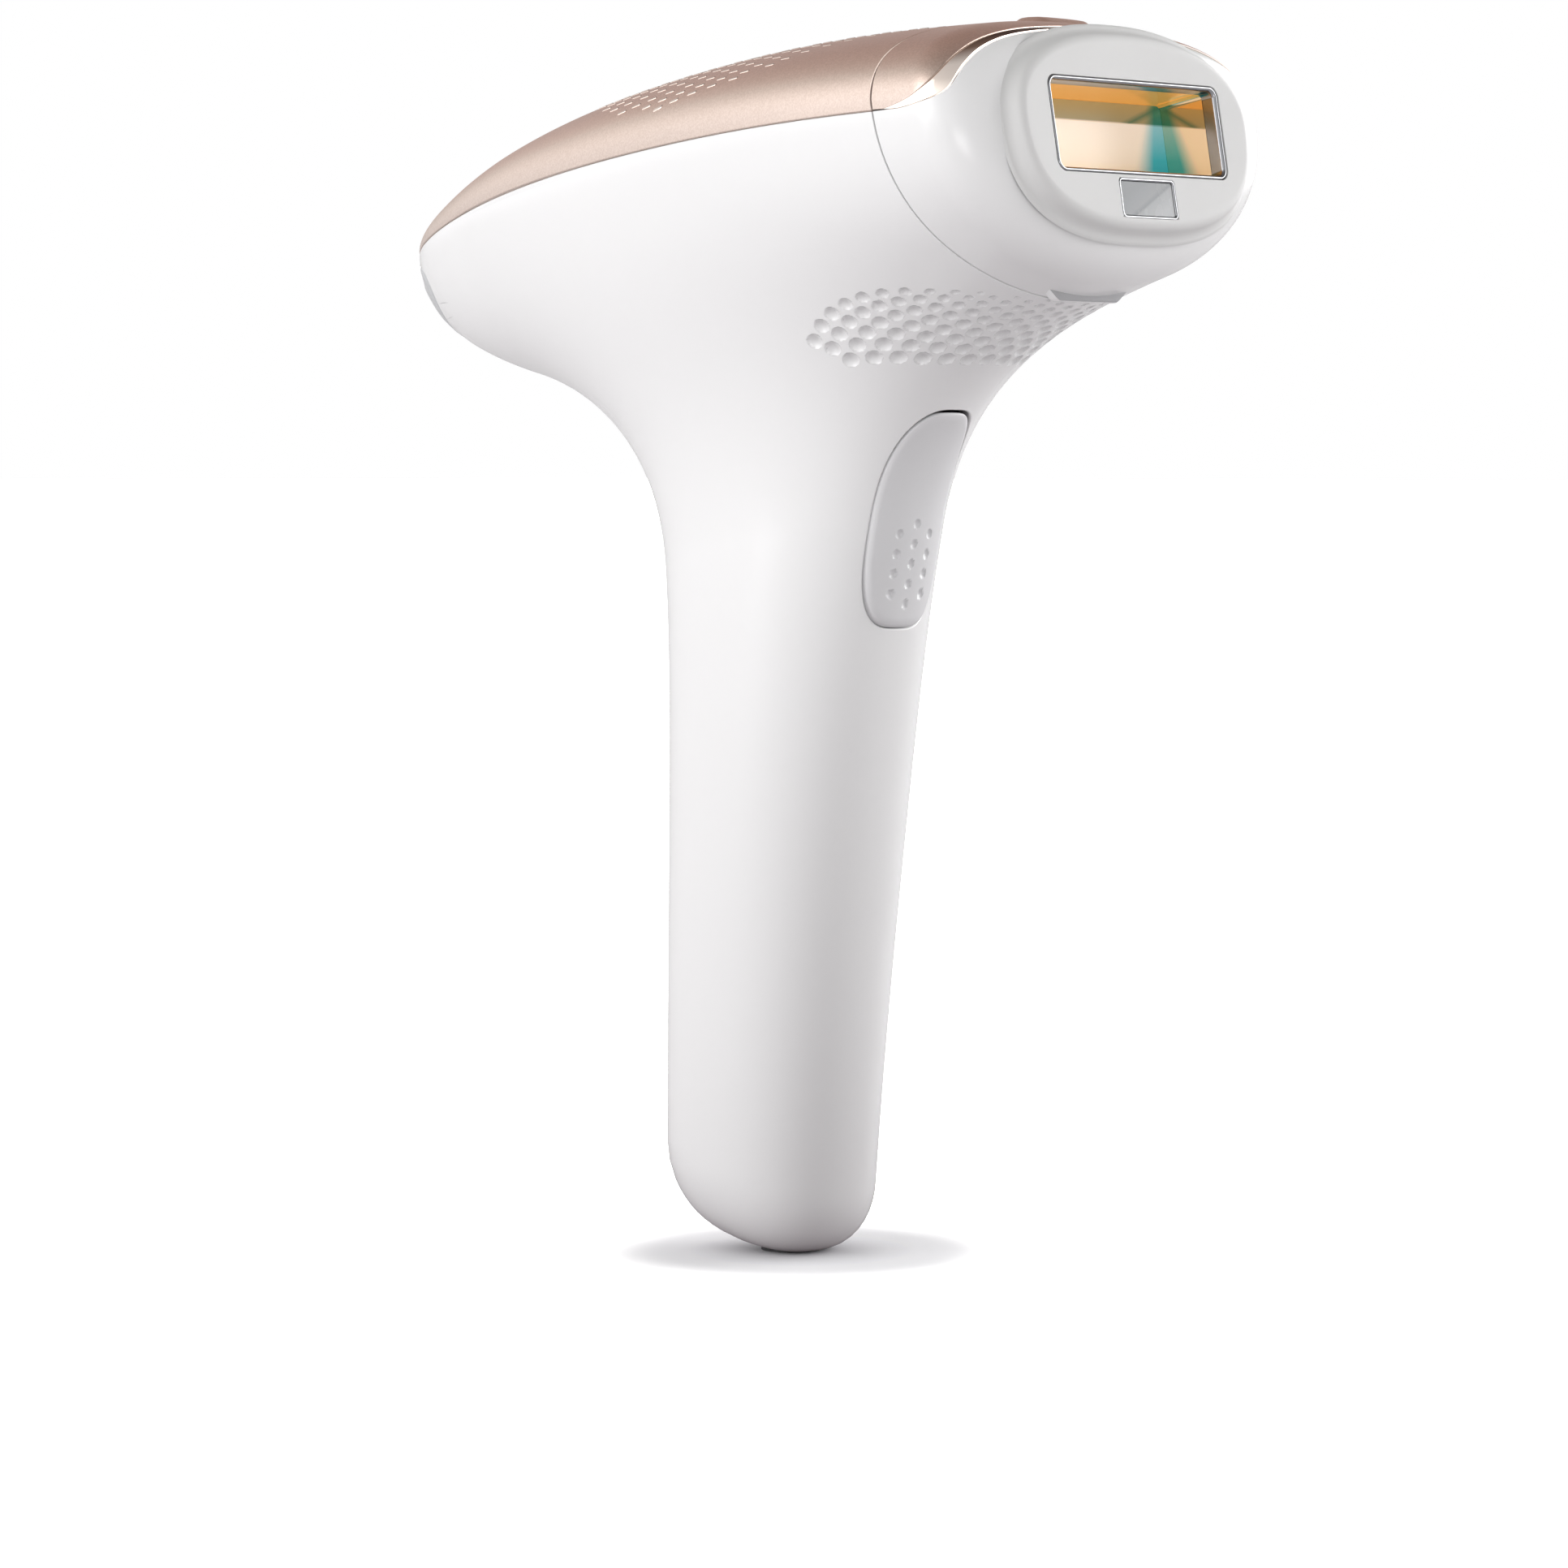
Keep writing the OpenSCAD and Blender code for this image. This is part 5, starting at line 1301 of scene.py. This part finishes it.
FLOOR_C = (0.002, 0.0)
FLOOR_BOUNCE = [(0.0, (0.075, 0.066, 0.071)), (0.2, (0.13, 0.122, 0.127)), (0.40, (0.205, 0.199, 0.204)), (1.0, (0.23, 0.227, 0.23))]
# camera gain by distance from the foot; the low values near the foot are painted shade
FLOOR_GAIN = [(0.0, (0.16, 0.16, 0.165)), (0.2, (0.26, 0.26, 0.265)), (0.36, (0.55, 0.55, 0.55)), (0.6, (1.0, 1.0, 1.0))]
floor = plane("floor", [(-30, -30, 0), (30, -30, 0), (30, 30, 0), (-30, 30, 0)], floor_material())

world = bpy.data.worlds.new("studio")
bpy.context.scene.world = world
world.use_nodes = True
wt = world.node_tree
bg = wt.nodes["Background"]
tc = node(wt, "ShaderNodeTexCoord")


def along(vec):
    n = node(wt, "ShaderNodeVectorMath", operation="DOT_PRODUCT")
    n.inputs[1].default_value = tuple(float(v) for v in vec)
    wt.links.new(tc.outputs["Generated"], n.inputs[0])
    return n.outputs["Value"]


def soft_box(dirn, inner, outer, gain):
    """A soft round bright patch around a direction."""
    n = node(wt, "ShaderNodeMapRange")
    n.interpolation_type = "SMOOTHSTEP"
    n.inputs["From Min"].default_value = math.cos(math.radians(outer))
    n.inputs["From Max"].default_value = math.cos(math.radians(inner))
    n.inputs["To Min"].default_value = 0.0
    n.inputs["To Max"].default_value = gain
    wt.links.new(along(unit(np.array(dirn, float))), n.inputs["Value"])
    return n.outputs[0]


SKY = [(0.0, (0.30, 0.26, 0.285)), (0.30, (0.42, 0.38, 0.405)), (0.46, (0.82, 0.805, 0.815)), (0.58, (0.96, 0.96, 0.96)), (0.68, (0.88, 0.88, 0.88)), (0.84, (0.34, 0.335, 0.33)), (1.0, (0.22, 0.215, 0.21))]
up = math_node(wt, "ADD", math_node(wt, "MULTIPLY", along((0, 0, 1)), 0.5), 0.5)
wc = ramp(wt, up, SKY)
side = math_node(wt, "ADD", math_node(wt, "MULTIPLY", along(R_), -0.58), 0.98)
box1 = soft_box(-0.80 * R_ - 0.55 * V_ + 0.12 * U_, 10, 40, 1.7)
back = soft_box(V_ + 0.12 * U_, 8, 60, -0.5)
box2 = soft_box(0.82 * R_ + 0.57 * V_ + 0.05 * U_, 15, 42, 7.8)
gain = math_node(wt, "ADD", math_node(wt, "ADD", math_node(wt, "ADD", side, box1), box2), back)
sc_ = node(wt, "ShaderNodeVectorMath", operation="SCALE")
wt.links.new(wc, sc_.inputs[0])
wt.links.new(gain, sc_.inputs["Scale"])
lp = node(wt, "ShaderNodeLightPath")
cam_white = mix(wt, lp.outputs["Is Camera Ray"], sc_.outputs[0], (1.0, 1.0, 1.0))
wt.links.new(cam_white, bg.inputs["Color"])
bg.inputs["Strength"].default_value = 1.0



def area(name, loc, target, size, power, color=(1, 1, 1), size_y=None):
    l = bpy.data.lights.new(name, "AREA")
    l.energy = power
    l.color = color
    l.size = size
    if size_y:
        l.shape = "RECTANGLE"
        l.size_y = size_y
    o = bpy.data.objects.new(name, l)
    o.location = loc
    d = Vector(target) - Vector(loc)
    o.rotation_mode = "QUATERNION"
    o.rotation_quaternion = d.to_track_quat("-Z", "Y")
    bpy.context.scene.collection.objects.link(o)
    o.visible_camera = False
    return o


def rel(right, back, up_, at=(0, 0, 0.1)):
    return tuple(np.array(at) + R_ * right - V_ * back + np.array([0, 0, 1.0]) * up_)


area("key", rel(-0.9, 0.6, 0.25), (0, 0, 0.1), 0.5, 1.6, (1, 1, 1), 0.9)
area("head_key", rel(-0.30, 0.42, 0.22, (0.03, 0, 0.15)), (0.03, 0, 0.15), 0.22, 0.08, (1, 1, 1), 0.3)
nose = area("nose_fill", rel(0.10, 0.36, -0.06, (0.05, 0, 0.15)), (0.052, -0.015, 0.148), 0.16, 0.008, (1, 1, 1), 0.12)
nose.data.spread = math.radians(34)

cam_data = bpy.data.cameras.new("camera")
cam_data.lens = 126.13
cam_data.sensor_width = 36
cam_data.clip_start = 0.01
cam_data.clip_end = 100
cam = bpy.data.objects.new("camera", cam_data)
bpy.context.scene.collection.objects.link(cam)
cam.location = (0.54528, -0.58630, 0.11501)
cam.rotation_mode = "QUATERNION"
cam.rotation_quaternion = Matrix((R_, U_, -V_)).transposed().to_quaternion()
bpy.context.scene.camera = cam

sc = bpy.context.scene
sc.view_settings.view_transform = "Standard"
sc.view_settings.look = "None"
sc.view_settings.exposure = 0.0
sc.view_settings.gamma = 1.0
sc.cycles.max_bounces = 12
